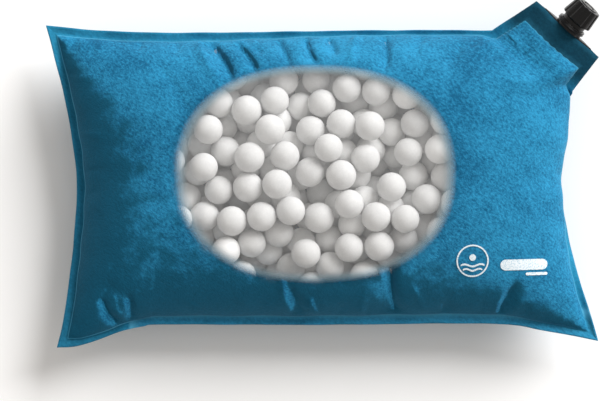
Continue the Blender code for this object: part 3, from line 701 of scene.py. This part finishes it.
def bag_skin(sides):
    """Both panels as one closed skin, to measure the room inside it."""
    sides = [points[::2, ::2] for points in sides]
    columns, rows, _ = sides[0].shape
    verts = np.vstack([s.reshape(-1, 3) for s in sides])
    faces = net_faces(columns, rows, 1)
    faces += [tuple(k + columns * rows for k in f) for f in net_faces(columns, rows, -1)]
    return BVHTree.FromPolygons(verts.tolist(), faces)


def with_rim_balls(skin, rng, fixed):
    """The given centres, and those of balls right under the film round the window's rim."""
    rim = [np.array(spot) for spot in fixed]
    for x, y, sink in rng.uniform(*RIM_BOX, (RIM_TRIES, 3)):
        if not RIM_INNER < window_share(np.array([x, y])) < RIM_OUTER:
            continue
        hit, normal = skin.ray_cast(Vector((x, y, 1)), Vector((0, 0, -1)))[:2]
        spot = np.array(hit - normal * (BALL_RADIUS + INNER_ROOM + sink))
        room = skin.find_nearest(Vector(spot))[3] - BALL_RADIUS
        apart = np.linalg.norm(np.array(rim) - spot, axis=1).min()
        if room > 0.95 * INNER_ROOM and apart > 2 * BALL_RADIUS - BALL_TOUCH:
            rim.append(spot)
    return np.array(rim)


def stacked_balls(skin, rng):
    """Centres and radii of shaken layers of balls that lie inside the skin."""
    pitch = 2.03 * BALL_RADIUS
    layer, j, i = np.mgrid[0:INNER_LAYERS, -5:6, -9:10].reshape(3, -1)
    shift = layer % 2 * pitch / 2
    centres = np.column_stack([(i + j % 2 / 2) * pitch + shift, j * 0.87 * pitch + 0.58 * shift,
                               INNER_TOP - layer * 0.82 * pitch])
    centres += rng.uniform(-INNER_SHAKE, INNER_SHAKE, centres.shape)
    size = BALL_RADIUS * rng.uniform(0.95, 1.03, len(centres))
    keep = []
    for (x, y, z), radius in zip(centres, size):
        top = skin.ray_cast(Vector((x, y, 1)), Vector((0, 0, -1)))[0]
        floor = skin.ray_cast(Vector((x, y, -1)), Vector((0, 0, 1)))[0]
        keep.append(top is not None and floor is not None
                    and floor.z + radius < z < top.z - 0.8 * radius)
    return centres[keep], size[keep]


def float_up(skin, centres, radii, held):
    """Lets the balls after the first held ones rise, push each other apart and stay inside."""
    for step in range(BALL_ROUNDS):
        if step < FLOAT_ROUNDS:
            centres[held:, 2] += FLOAT_STEP
        apart = centres[:, None] - centres[None]
        distance = np.linalg.norm(apart, axis=2) + 10 * np.eye(len(centres))
        short = np.maximum(radii[:, None] + radii[None] - distance, 0)
        centres[held:] += 0.4 * ((short / distance)[..., None] * apart).sum(axis=1)[held:]
        for k in range(held, len(centres)):
            near, normal, _, away = skin.find_nearest(Vector(centres[k]))
            outside = (Vector(centres[k]) - near).dot(normal) > 0
            if outside or away < radii[k] + INNER_ROOM:
                centres[k] = near - normal * (radii[k] + INNER_ROOM)


def packed_balls(sides, fixed, radii):
    """Centres and radii of the balls that fill the room round the fixed ones."""
    rng = np.random.default_rng(INNER_SEED)
    skin = bag_skin(sides)
    given = len(fixed)
    fixed = with_rim_balls(skin, rng, fixed)
    held = len(fixed)
    stack, stack_radii = stacked_balls(skin, rng)
    centres = np.vstack([fixed, stack])
    radii = np.concatenate([radii, np.full(held - given, BALL_RADIUS), stack_radii])
    float_up(skin, centres, radii, held)
    # Last, any gap with room for a ball gets one, from the top down
    spare = rng.uniform(*SPARE_BOX, (SPARE_TRIES, 3))
    spare = spare[np.argsort(-spare[:, 2], kind="stable")]
    order = list(range(held)) + list(held + np.argsort(-centres[held:, 2], kind="stable"))
    centres = np.vstack([centres[order], spare])
    radii = np.append(radii[order], np.full(SPARE_TRIES, SPARE_SIZE * BALL_RADIUS))
    kept = list(range(held))
    for k in range(held, len(centres)):
        away = np.linalg.norm(centres[kept] - centres[k], axis=1)
        if (away < radii[kept] + radii[k] - BALL_PRESS).any():
            continue
        near, normal, _, depth = skin.find_nearest(Vector(centres[k]))
        if depth > radii[k] + LAYERS and (Vector(centres[k]) - near).dot(normal) < 0:
            kept.append(k)
    return centres[kept[given:]], radii[kept[given:]]


def make_inner_balls(sides, places, mat):
    centres = np.array([centre[:] for centre, _ in places.values()])
    radii = np.array([radius for _, radius in places.values()])
    balls = []
    for spot, size in zip(*packed_balls(sides, centres, radii)):
        seen = window_share(spot[:2]) < 1.2
        steps = 4 if seen and spot[2] > 0.07 else 3 if seen and spot[2] > 0.05 else 2
        balls.append((spot, size, steps))
    return linked("inner_balls", balls_mesh("inner_balls", balls, mat))


# --- Printed mark ---

MARK_ORIGIN = (0.1332, -0.0735)
MARK_TURN = math.radians(1.0)
INK = 0.00028


def arc_strip(centre, radius, width, start, end, count):
    """Two rows of points along an arc, for a line of ink."""
    turn = np.linspace(start, end, count)
    ray = np.column_stack([np.cos(turn), np.sin(turn)])
    return centre + ray * (radius - width / 2), centre + ray * (radius + width / 2)


def wave_strip(left, right, y, swing, width, count):
    """Two rows of points for a level or waving stroke with round ends."""
    x = (left + right) / 2 + (right - left) / 2 * np.sin(np.linspace(-1, 1, count) * np.pi / 2)
    middle = y + swing * np.sin(2 * np.pi * (x - left) / (right - left) * 1.5)
    from_end = np.minimum(x - left, right - x)
    half = np.sqrt(np.maximum((width / 2) ** 2 - np.maximum(width / 2 - from_end, 0) ** 2, 1e-9))
    return np.column_stack([x, middle - half]), np.column_stack([x, middle + half])


def mark_strips():
    """A ring round a dot and two waves, and two bars beside it."""
    yield arc_strip(np.zeros(2), 0.0138, 0.0013, 0, 2 * np.pi, 73)
    yield arc_strip(np.array([0.0, 0.003]), 0.0015, 0.0029, 0, 2 * np.pi, 33)
    yield wave_strip(-0.0108, 0.0108, -0.004, 0.001, 0.0016, 33)
    yield wave_strip(-0.0088, 0.0088, -0.008, 0.0009, 0.0015, 27)
    yield wave_strip(0.025, 0.068, -0.0044, 0, 0.0096, 61)
    yield wave_strip(0.048, 0.068, -0.0128, 0, 0.0026, 31)


def make_mark(cover, mat):
    """Ink laid on the cover."""
    skin = BVHTree.FromObject(cover, bpy.context.evaluated_depsgraph_get())
    c, s = math.cos(MARK_TURN), math.sin(MARK_TURN)
    verts, faces = [], []
    for low, high in mark_strips():
        rows = [low + (high - low) * t for t in np.linspace(0, 1, 4)]
        count = len(low)
        first = len(verts)
        for row in rows:
            for x, y in row:
                px = MARK_ORIGIN[0] + c * x - s * y
                py = MARK_ORIGIN[1] + s * x + c * y
                hit, normal, _, _ = skin.ray_cast(Vector((px, py, 1)), Vector((0, 0, -1)))
                verts.append(hit + normal * INK)
        for r in range(3):
            for k in range(count - 1):
                a = first + r * count + k
                faces.append((a, a + 1, a + count + 1, a + count))
    mark = cleaned(add_mesh("printed_mark", verts, faces, mat), 0.00002)
    if sum(f.normal.z for f in mark.data.polygons) < 0:
        mark.data.flip_normals()
    ink = mark.modifiers.new("Ink", "SOLIDIFY")
    ink.thickness = 0.8 * INK
    ink.offset = 1
    applied(mark).data.shade_flat()
    return mark


# --- Valve ---

knob_joint = next(j for j in frame["joints"] if j["name"] == "knob_turn")
VALVE_AXIS = Vector(knob_joint["axis"]).normalized()
VALVE_SIDE = Vector((TAB_OUT[1], -TAB_OUT[0], 0))
VALVE_FRAME = Matrix((VALVE_SIDE, VALVE_AXIS.cross(VALVE_SIDE), VALVE_AXIS)).transposed()
VALVE_FRAME = Matrix.Translation(knob_joint["pos_m"]) @ VALVE_FRAME.to_4x4()

KNOB_BASE = 0.0116
KNOB_END = 0.028
KNOB_BASE_RADIUS = 0.01515
KNOB_END_RADIUS = 0.0129
KNOB_CAVITY_RADIUS = 0.011
KNOB_ROOF = 0.025
KNOB_FLUTES = 12
KNOB_FLUTE_RADIUS = 0.0022
KNOB_HOLE_RADIUS = 0.0088
SPOKE = 0.0016
SPOKE_COUNT = 5
THREAD_LEAD = 0.004
SEGMENTS = 192


def filleted(profile, radius, closed):
    """The profile with each corner rounded off."""
    points = [Vector(p) for p in profile]
    count = len(points)
    result = []
    for k, corner in enumerate(points):
        if not closed and k in (0, count - 1):
            result.append(corner)
            continue
        before, after = points[k - 1] - corner, points[(k + 1) % count] - corner
        size = min(radius, 0.45 * before.length, 0.45 * after.length)
        start, end = corner + before.normalized() * size, corner + after.normalized() * size
        for t in (0, 0.25, 0.5, 0.75, 1):
            result.append((1 - t) ** 2 * start + 2 * t * (1 - t) * corner + t * t * end)
    return result


def turned(name, profile, mat, round_off=0.0003, closed=True, shape=None, segments=SEGMENTS):
    """A profile of (radius, height) points turned about the valve's axis."""
    path = filleted(profile, round_off, closed)
    turn = np.arange(segments) * 2 * np.pi / segments
    verts = []
    for radius, height in path:
        radii = np.full(segments, radius) if shape is None else shape(turn, radius, height)
        verts.append(np.column_stack([radii * np.cos(turn), radii * np.sin(turn),
                                      np.full(segments, height)]))
    count = len(path)
    faces = []
    for k in range(count if closed else count - 1):
        faces += band(k * segments, (k + 1) % count * segments, segments)
    obj = cleaned(add_mesh(name, np.vstack(verts), faces, mat), 0.000002)
    obj.matrix_world = VALVE_FRAME
    return obj


def fluted(turn, radius, height):
    """The knob's outer wall, with its flutes cut in."""
    share = (height - KNOB_BASE) / (KNOB_END - KNOB_BASE)
    wall = KNOB_BASE_RADIUS + (KNOB_END_RADIUS - KNOB_BASE_RADIUS) * share
    middle = wall + 0.6 * KNOB_FLUTE_RADIUS
    off = (turn + np.pi / KNOB_FLUTES) % (2 * np.pi / KNOB_FLUTES) - np.pi / KNOB_FLUTES
    inside = KNOB_FLUTE_RADIUS ** 2 - (middle * np.sin(off)) ** 2
    flute = middle * np.cos(off) - np.sqrt(np.maximum(inside, 0))
    cut = np.where(inside > 0, flute, np.inf)
    # A soft minimum rounds the edges between flutes and lands
    blend = 0.00025
    low = np.minimum(cut, radius)
    gap = np.minimum(np.abs(cut - radius), 10)
    return np.where(radius > KNOB_HOLE_RADIUS + 0.0015,
                    low - np.maximum(blend - gap, 0) ** 2 / (4 * blend), radius)


def thread_ridge(name, radius, bead, start, mat, outward):
    """A round ridge wound one and a half turns, fading at both ends."""
    turns, per_turn, around = 1.5, 64, 10
    count = int(turns * per_turn) + 1
    ring = np.arange(around) * 2 * np.pi / around
    verts = []
    for k in range(count):
        angle = 2 * np.pi * k / per_turn
        size = bead * math.sin(math.pi * min(1, 0.04 + 5 * min(k, count - 1 - k) / count) / 2)
        r = radius + outward * (size - bead) + size * np.cos(ring)
        z = start + THREAD_LEAD * k / per_turn + size * np.sin(ring)
        verts.append(np.column_stack([r * math.cos(angle), r * math.sin(angle), z]))
    faces = [tuple(range(around))[::-1], tuple(range((count - 1) * around, count * around))]
    for k in range(count - 1):
        faces += band(k * around, (k + 1) * around, around)
    obj = add_mesh(name, np.vstack(verts), faces, mat)
    obj.matrix_world = VALVE_FRAME
    return obj


def make_boat(mat):
    """The lens-shaped block that the panels are welded round."""
    across = np.linspace(-1, 1, 49)
    outline = [(BOAT_HALF_LENGTH * t, BOAT_HALF_THICKNESS * (1 - t * t)) for t in across]
    outline += [(x, -y) for x, y in outline[-2:0:-1]]
    count = len(outline)
    ends = [(-0.017, 0.97), (-0.0166, 0.995), (-0.016, 1.0), (-0.0052, 1.0), (-0.0048, 0.985),
            (-0.0044, 1.0), (0.0002, 1.0), (0.0006, 0.99), (0.0008, 0.96)]
    verts = [(x * share, y * share, z) for z, share in ends for x, y in outline]
    faces = [tuple(range(count)), tuple(range((len(ends) - 1) * count, len(ends) * count))]
    for k in range(len(ends) - 1):
        faces += band(k * count, (k + 1) * count, count)
    obj = cleaned(add_mesh("valve_boat", verts, faces, mat))
    obj.matrix_world = VALVE_FRAME
    return obj


def joined(first, others):
    """The first object with the others' meshes in it as well."""
    bm = bmesh.new()
    for obj in (first, *others):
        bm.from_mesh(obj.data)
    bm.to_mesh(first.data)
    bm.free()
    for obj in others:
        bpy.data.objects.remove(obj)
    return first


def make_valve(plastic, rubber):
    """Each piece of the valve, with the CAD node that it stands for and its body."""
    body = turned("valve_spout", [
        (0.009, 0.022), (0.009, 0.0108), (0.01165, 0.0108), (0.01165, 0.0034),
        (0.0132, 0.0034), (0.0132, 0.0006), (0.0045, 0.0006), (0.0045, 0.003),
        (0.006, 0.0045), (0.006, 0.022),
    ], plastic, 0.0005)
    barrel_thread = thread_ridge("ridge", 0.009 + 0.00035, 0.0007, 0.0135, plastic, -1)
    body = joined(body, [barrel_thread])
    boat = make_boat(plastic)
    collar = turned("neck_collar", [
        (0.014, 0.0067), (0.0142, 0.0054), (0.0135, 0.0051), (0.0142, 0.0047),
        (0.0144, 0.004), (0.0141, 0.0037), (0.01195, 0.0037), (0.01195, 0.0067),
    ], plastic, 0.00035)
    knob = turned("twist_knob", [
        (KNOB_END_RADIUS, KNOB_END), (KNOB_BASE_RADIUS, KNOB_BASE),
        (KNOB_CAVITY_RADIUS, KNOB_BASE), (KNOB_CAVITY_RADIUS, KNOB_ROOF),
        (KNOB_HOLE_RADIUS, KNOB_ROOF), (KNOB_HOLE_RADIUS, KNOB_END),
    ], plastic, 0.001, shape=fluted)
    knob_thread = thread_ridge("ridge", 0.0105, 0.0008, 0.0155, plastic, 1)
    knob = joined(knob, [knob_thread])
    mouth = turned("knob_mouth", [
        (0.0055, 0.0286), (0.0085, 0.0286), (0.0085, KNOB_ROOF), (0.0055, KNOB_ROOF),
    ], plastic, 0.0006)
    gasket = turned("gasket_ring", [
        (0.0103, 0.0247), (0.0103, 0.0223), (0.0064, 0.0223), (0.0064, 0.0247),
    ], rubber, 0.0004)
    pintle = turned("centre_plug", [
        (0, 0.0283), (0.0044, 0.0283), (0.0044, 0.0274), (0.0032, 0.0274), (0.0032, 0.0256),
        (0.0044, 0.0256), (0.0044, 0.0252), (0.002, 0.0236), (0.002, 0.0085), (0, 0.0085),
    ], plastic, 0.0004, closed=False)
    foot = turned("foot", [
        (0.0057, 0.01), (0.0047, 0.01), (0.0047, 0.008), (0.0057, 0.008),
    ], plastic, 0.0003)
    spokes = [turned("spoke", [(0, 0), (SPOKE / 2, 0), (SPOKE / 2, 0.005), (0, 0.005)],
                     plastic, 0.0002, closed=False, segments=16) for _ in range(SPOKE_COUNT)]
    for k, spoke in enumerate(spokes):
        spoke.data.transform(Matrix.Translation((0, 0, 0.009))
                             @ Matrix.Rotation(2 * math.pi * k / SPOKE_COUNT, 4, "Z")
                             @ Matrix.Rotation(math.pi / 2, 4, "Y"))
    pintle = joined(pintle, [foot, *spokes])
    seal = turned("plug_ring", [
        (0.0047, 0.0271), (0.0047, 0.0259), (0.0035, 0.0259), (0.0035, 0.0271),
    ], rubber, 0.0006)
    return [
        (body, "pillow", "valve_body", "valve_plastic"),
        (boat, "pillow", "valve_body", "valve_plastic"),
        (collar, "pillow", "valve_collar", "valve_plastic"),
        (pintle, "pillow", "valve_pintle", "valve_plastic"),
        (seal, "pillow", "pintle_seal", "seal_rubber"),
        (gasket, "gasket", "knob_gasket", "seal_rubber"),
        (knob, "knob", "knob_shell", "knob_plastic"),
        (mouth, "knob", "mouth_ring", "knob_plastic"),
    ]


# --- Materials ---

class Nodes:
    """Short calls that add nodes to a new material and link them."""

    def __init__(self, name):
        self.material = bpy.data.materials.new(name)
        self.material.use_nodes = True
        self.tree = self.material.node_tree
        self.tree.nodes.clear()
        self.output = self.tree.nodes.new("ShaderNodeOutputMaterial")

    def add(self, kind, *, settings=None, **values):
        node = self.tree.nodes.new("ShaderNode" + kind)
        for key, value in (settings or {}).items():
            setattr(node, key, value)
        for key, value in values.items():
            self.put(node.inputs[key.replace("_", " ")], value)
        return node

    def put(self, socket, value):
        if isinstance(value, bpy.types.NodeSocket):
            self.tree.links.new(value, socket)
        else:
            socket.default_value = value

    def maths(self, operation, a, b=0.0):
        node = self.tree.nodes.new("ShaderNodeMath")
        node.operation = operation
        self.put(node.inputs[0], a)
        self.put(node.inputs[1], b)
        return node.outputs[0]

    def weighted(self, *terms):
        """The sum of outputs, each times its weight."""
        products = [self.maths("MULTIPLY", value, weight) for value, weight in terms]
        total = products[0]
        for product in products[1:]:
            total = self.maths("ADD", total, product)
        return total

    def noise(self, where, scale, detail=2.0, roughness=0.5):
        node = self.add("TexNoise", Vector=where, Scale=scale, Detail=detail,
                        Roughness=roughness)
        return node.outputs["Fac"]

    def ranged(self, value, low, high, to_low=0.0, to_high=1.0, smooth=False):
        node = self.tree.nodes.new("ShaderNodeMapRange")
        node.interpolation_type = "SMOOTHSTEP" if smooth else "LINEAR"
        for k, entry in enumerate((value, low, high, to_low, to_high)):
            self.put(node.inputs[k], entry)
        return node.outputs[0]

    def mixed(self, factor, a, b):
        node = self.tree.nodes.new("ShaderNodeMix")
        node.data_type = "RGBA"
        self.put(node.inputs["Factor"], factor)
        self.put(node.inputs["A"], a if isinstance(a, bpy.types.NodeSocket) else (*a, 1))
        self.put(node.inputs["B"], b if isinstance(b, bpy.types.NodeSocket) else (*b, 1))
        return node.outputs["Result"]

    def finish(self, shader):
        self.tree.links.new(shader, self.output.inputs["Surface"])
        return self.material


# Slopes that face this way, away from the sun, get painted shade on the suede
PAINTED_SHADE_FACING = (-0.75, -0.66, 0.0)
RIM_PAINTED_LIGHT = (0.4, 0.54, 0.6)  # pale colour that the cover fades through round the window: painted light over the rim, which the cover shades


def suede(name, with_window):
    """Brushed blue microfibre: a mottled nap, flattened smooth in the weld, with painted shade on
    the slopes that face away from the sun and on the flanges of the tab and the left side, painted
    light on the front flange and a painted highlight along the weld.
    """
    n = Nodes(name)
    where = n.add("TexCoord").outputs["Object"]
    leaning = n.add("Mapping", settings={"vector_type": "TEXTURE"}, Vector=where,
                    Rotation=(0, 0, math.radians(-38)), Scale=(1.6, 1, 1)).outputs["Vector"]
    grain = n.noise(where, 900, 3, 0.6)
    mottle = n.noise(leaning, 520, 3, 0.6)
    brushed = n.noise(leaning, 60, 3, 0.6)
    broad = n.noise(where, 11, 3, 0.6)
    shade = n.weighted((grain, 0.18), (mottle, 0.4), (brushed, 0.18), (broad, 0.24))
    nap = n.mixed(n.ranged(shade, 0.41, 0.59), (0.0034, 0.093, 0.198), (0.024, 0.262, 0.478))
    # Painted shade: nap on the slopes to the front and left, which face away from the sun, is
    # darkened, with a ragged border
    slope = n.add("VectorMath", settings={"operation": "DOT_PRODUCT"})
    n.put(slope.inputs[0], n.add("NewGeometry").outputs["Normal"])
    n.put(slope.inputs[1], PAINTED_SHADE_FACING)
    ragged = n.maths("MULTIPLY", n.noise(where, 70, 4, 0.65), 0.45)
    painted_shade_side = n.ranged(n.maths("ADD", slope.outputs["Value"], ragged), 0.35, 0.56, smooth=True)
    dark = n.mixed(n.ranged(shade, 0.38, 0.62), (0.0016, 0.07, 0.128), (0.004, 0.098, 0.18))
    nap = n.mixed(painted_shade_side, nap, dark)
    weld_and_painted_shading = n.add("Attribute", settings={"attribute_name": "weld_and_painted_shading"}).outputs["Fac"]
    flat = n.mixed(n.ranged(shade, 0.39, 0.61), (0.0105, 0.148, 0.262), (0.022, 0.245, 0.425))
    # The darker flange colour is taken where the weld mask passes 1.2. On the tab it is partly the
    # flattened nap and partly painted shade; on the left flange it is painted shade.
    tab = n.mixed(n.ranged(shade, 0.39, 0.61), (0.0036, 0.046, 0.08), (0.0072, 0.076, 0.13))
    flat = n.mixed(n.ranged(weld_and_painted_shading, 1.2, 1.9), flat, tab)
    # Painted highlight: a light blue line along the edge of the weld, where the dome rises from the
    # flange
    line = n.maths("MULTIPLY", n.ranged(weld_and_painted_shading, 0.35, 0.75), n.ranged(weld_and_painted_shading, 0.99, 0.85))
    colour = n.mixed(weld_and_painted_shading, nap, flat)
    colour = n.mixed(n.maths("MULTIPLY", line, 0.75), colour, (0.09, 0.4, 0.6))
    height = n.weighted((grain, 0.4), (mottle, 0.6))
    depth = n.ranged(weld_and_painted_shading, 0, 1, 1.0, 0.35)
    bump = n.add("Bump", Strength=0.9, Distance=0.001,
                 Height=n.maths("MULTIPLY", height, depth)).outputs["Normal"]
    shader = n.add("BsdfPrincipled", Roughness=0.92, Normal=bump, Specular_IOR_Level=0.15,
                   Sheen_Weight=0.12, Sheen_Roughness=0.45, Sheen_Tint=(0.45, 0.8, 1.0, 1))
    if not with_window:
        n.put(shader.inputs["Base Color"], colour)
        return n.finish(shader.outputs[0])
    axes = n.add("SeparateXYZ", Vector=where)
    powers = []
    for axis, middle, half in zip("XY", WINDOW_CENTRE, WINDOW_HALF):
        away = n.maths("DIVIDE", n.maths("SUBTRACT", axes.outputs[axis], middle), half)
        powers.append(n.maths("POWER", n.maths("ABSOLUTE", away), WINDOW_POWER))
    share = n.maths("POWER", n.maths("ADD", *powers), 1 / WINDOW_POWER)
    under = n.maths("LESS_THAN", axes.outputs["Z"], WELD_HEIGHT + 0.02)
    solid = n.maths("MAXIMUM", n.ranged(share, WINDOW_CLEAR, WINDOW_SOLID, smooth=True), under)
    # Painted light: round the window the cover turns pale before it clears, over the rim that the
    # cover shades
    n.put(shader.inputs["Base Color"], n.mixed(n.ranged(solid, 0.05, 0.75), RIM_PAINTED_LIGHT, colour))
    clear = n.add("BsdfTransparent")
    blend = n.add("MixShader", Fac=solid)
    n.tree.links.new(clear.outputs[0], blend.inputs[1])
    n.tree.links.new(shader.outputs[0], blend.inputs[2])
    return n.finish(blend.outputs[0])


def clear_film():
    """Thin clear film with a faint grey haze, which is also painted light: it lifts the shade
    between the balls under it.
    """
    n = Nodes("clear_film")
    where = n.add("TexCoord").outputs["Object"]
    haze_and_painted_light = n.ranged(n.noise(where, 40, 3), 0.3, 0.7, 0.14, 0.22)
    ripple = n.noise(where, 60, 2)
    bump = n.add("Bump", Strength=0.2, Distance=0.0004, Height=ripple).outputs["Normal"]
    shader = n.add("BsdfPrincipled", Roughness=0.3, Alpha=haze_and_painted_light, Normal=bump,
                   Base_Color=(0.66, 0.67, 0.68, 1))
    return n.finish(shader.outputs[0])


def foam(name, dark, light):
    """White foam with fine pores."""
    n = Nodes(name)
    world = n.add("NewGeometry").outputs["Position"]
    pores = n.add("TexVoronoi", Vector=world, Scale=700.0).outputs["Distance"]
    soft = n.noise(world, 90, 3)
    tone = n.weighted((pores, 0.25), (soft, 0.75))
    colour = n.mixed(n.ranged(tone, 0.3, 0.7), dark, light)
    bump = n.add("Bump", Strength=0.14, Distance=0.0004, Height=tone).outputs["Normal"]
    shader = n.add("BsdfPrincipled", Base_Color=colour, Roughness=0.62, Normal=bump,
                   Specular_IOR_Level=0.2, Subsurface_Weight=0.9, Subsurface_Radius=(1, 1, 1),
                   Subsurface_Scale=0.012)
    return n.finish(shader.outputs[0])


def moulded(name, dark, light, roughness, bump_size):
    """Moulded plastic or rubber: a fine grain, with its edges a little lighter, partly from wear and
    partly as a painted highlight.
    """
    n = Nodes(name)
    where = n.add("TexCoord").outputs["Object"]
    geometry = n.add("NewGeometry")
    grain = n.noise(where, 1600, 2)
    smear = n.noise(where, 140, 4, 0.6)
    # Lighter edges: partly wear, partly a painted highlight
    edges = n.ranged(geometry.outputs["Pointiness"], 0.52, 0.6)
    wear_and_highlight = n.maths("MULTIPLY", edges, n.ranged(smear, 0.35, 0.65, 0.3, 1.0))
    colour = n.mixed(n.maths("MAXIMUM", wear_and_highlight, n.ranged(smear, 0.55, 0.9, 0, 0.35)), dark, light)
    gloss = n.ranged(smear, 0.3, 0.7, roughness - 0.06, roughness + 0.08)
    bump = n.add("Bump", Strength=0.25, Distance=bump_size, Height=grain).outputs["Normal"]
    shader = n.add("BsdfPrincipled", Base_Color=colour, Roughness=gloss, Normal=bump,
                   Specular_IOR_Level=0.35)
    return n.finish(shader.outputs[0])


def ink():
    n = Nodes("white_ink")
    where = n.add("TexCoord").outputs["Object"]
    grain = n.noise(where, 900, 3)
    colour = n.mixed(n.ranged(grain, 0.3, 0.52), (0.3, 0.52, 0.66), (0.8, 0.86, 0.9))
    bump = n.add("Bump", Strength=0.4, Distance=0.0002, Height=grain).outputs["Normal"]
    shader = n.add("BsdfPrincipled", Base_Color=colour, Roughness=0.7, Normal=bump)
    return n.finish(shader.outputs[0])


# --- Stage ---

CAMERA_PLACE = (-0.02, -0.02, 2.045)
CAMERA_LENS = 132.4
SUN_HEIGHT = math.radians(30)
SUN_HEADING = math.radians(47)
SUN_POWER = 4.1
SUN_SPREAD = math.radians(38)
SKY_COLOUR = (1.0, 0.955, 0.905, 1)
SKY_STRENGTH = 0.54
FLOOR_HALF = 6


def set_stage():
    """A pale floor, a soft sun from the back right, and the camera straight above."""
    n = Nodes("floor_paint")
    paint = n.add("BsdfPrincipled", Base_Color=(0.96, 0.96, 0.96, 1), Roughness=0.9,
                  Specular_IOR_Level=0.1)
    corners = [(x * FLOOR_HALF, y * FLOOR_HALF, 0) for x, y in ((-1, -1), (1, -1), (1, 1), (-1, 1))]
    floor = add_mesh("floor", corners, [(0, 1, 2, 3)], n.finish(paint.outputs[0]))
    floor.location.z = -0.0003

    sun_data = bpy.data.lights.new("sun", "SUN")
    sun_data.energy = SUN_POWER
    sun_data.angle = SUN_SPREAD
    sun = linked("sun", sun_data)
    towards = Vector((math.cos(SUN_HEIGHT) * math.cos(SUN_HEADING),
                      math.cos(SUN_HEIGHT) * math.sin(SUN_HEADING), math.sin(SUN_HEIGHT)))
    sun.rotation_euler = towards.to_track_quat("Z", "Y").to_euler()

    world = scene.world or bpy.data.worlds.new("world")
    scene.world = world
    world.use_nodes = True
    sky = world.node_tree.nodes["Background"]
    sky.inputs["Color"].default_value = SKY_COLOUR
    sky.inputs["Strength"].default_value = SKY_STRENGTH

    camera_data = bpy.data.cameras.new("camera")
    camera_data.lens = CAMERA_LENS
    camera_data.sensor_width = 36
    camera = linked("camera", camera_data)
    camera.location = CAMERA_PLACE
    scene.camera = camera
    scene.view_settings.view_transform = "Standard"


# --- Assembly ---

def place(obj, body, slot, *nodes):
    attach(obj, body)
    if nodes:
        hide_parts(*nodes)


def main():
    set_stage()
    net = Net()
    film_mat = clear_film()
    foam_mat = foam("white_foam", (0.64, 0.64, 0.64), (0.72, 0.72, 0.715))
    # The inner balls get a brighter foam than the top ones: painted light that lifts the shade in
    # the gaps between the balls
    inner_foam_painted_light = foam("deep_foam_painted_light", (0.88, 0.88, 0.87), (0.95, 0.95, 0.94))
    plastic = moulded("black_plastic", (0.0012, 0.0013, 0.0016), (0.012, 0.012, 0.014), 0.25,
                      0.00005)
    rubber = moulded("black_rubber", (0.01, 0.01, 0.01), (0.035, 0.035, 0.035), 0.62, 0.0001)

    places = top_ball_places()
    top = shaped_panel(net, 1, places.values())
    bottom = shaped_panel(net, -1, [])
    top_cover = make_cover(net, top, 1, suede("suede_top", True))
    bottom_cover = make_cover(net, bottom, -1, suede("suede_bottom", False))
    place(top_cover, "pillow", "suede", "top_fabric")
    place(bottom_cover, "pillow", "suede", "bottom_fabric")
    place(make_film(net, top, 1, film_mat), "pillow", "film", "top_film")
    place(make_film(net, bottom, -1, film_mat), "pillow", "film", "bottom_film")
    place(make_mark(top_cover, ink()), "pillow", "suede")

    make_top_balls(places, foam_mat)
    inner = make_inner_balls([top, bottom], places, inner_foam_painted_light)
    place(inner, "pillow", "foam", "ball_fill")

    for piece, body, node, slot in make_valve(plastic, rubber):
        place(piece, body, slot, node)
    slots = frame["nodes"]["intake_grille"].data.materials
    slots.clear()
    slots.append(plastic)


main()
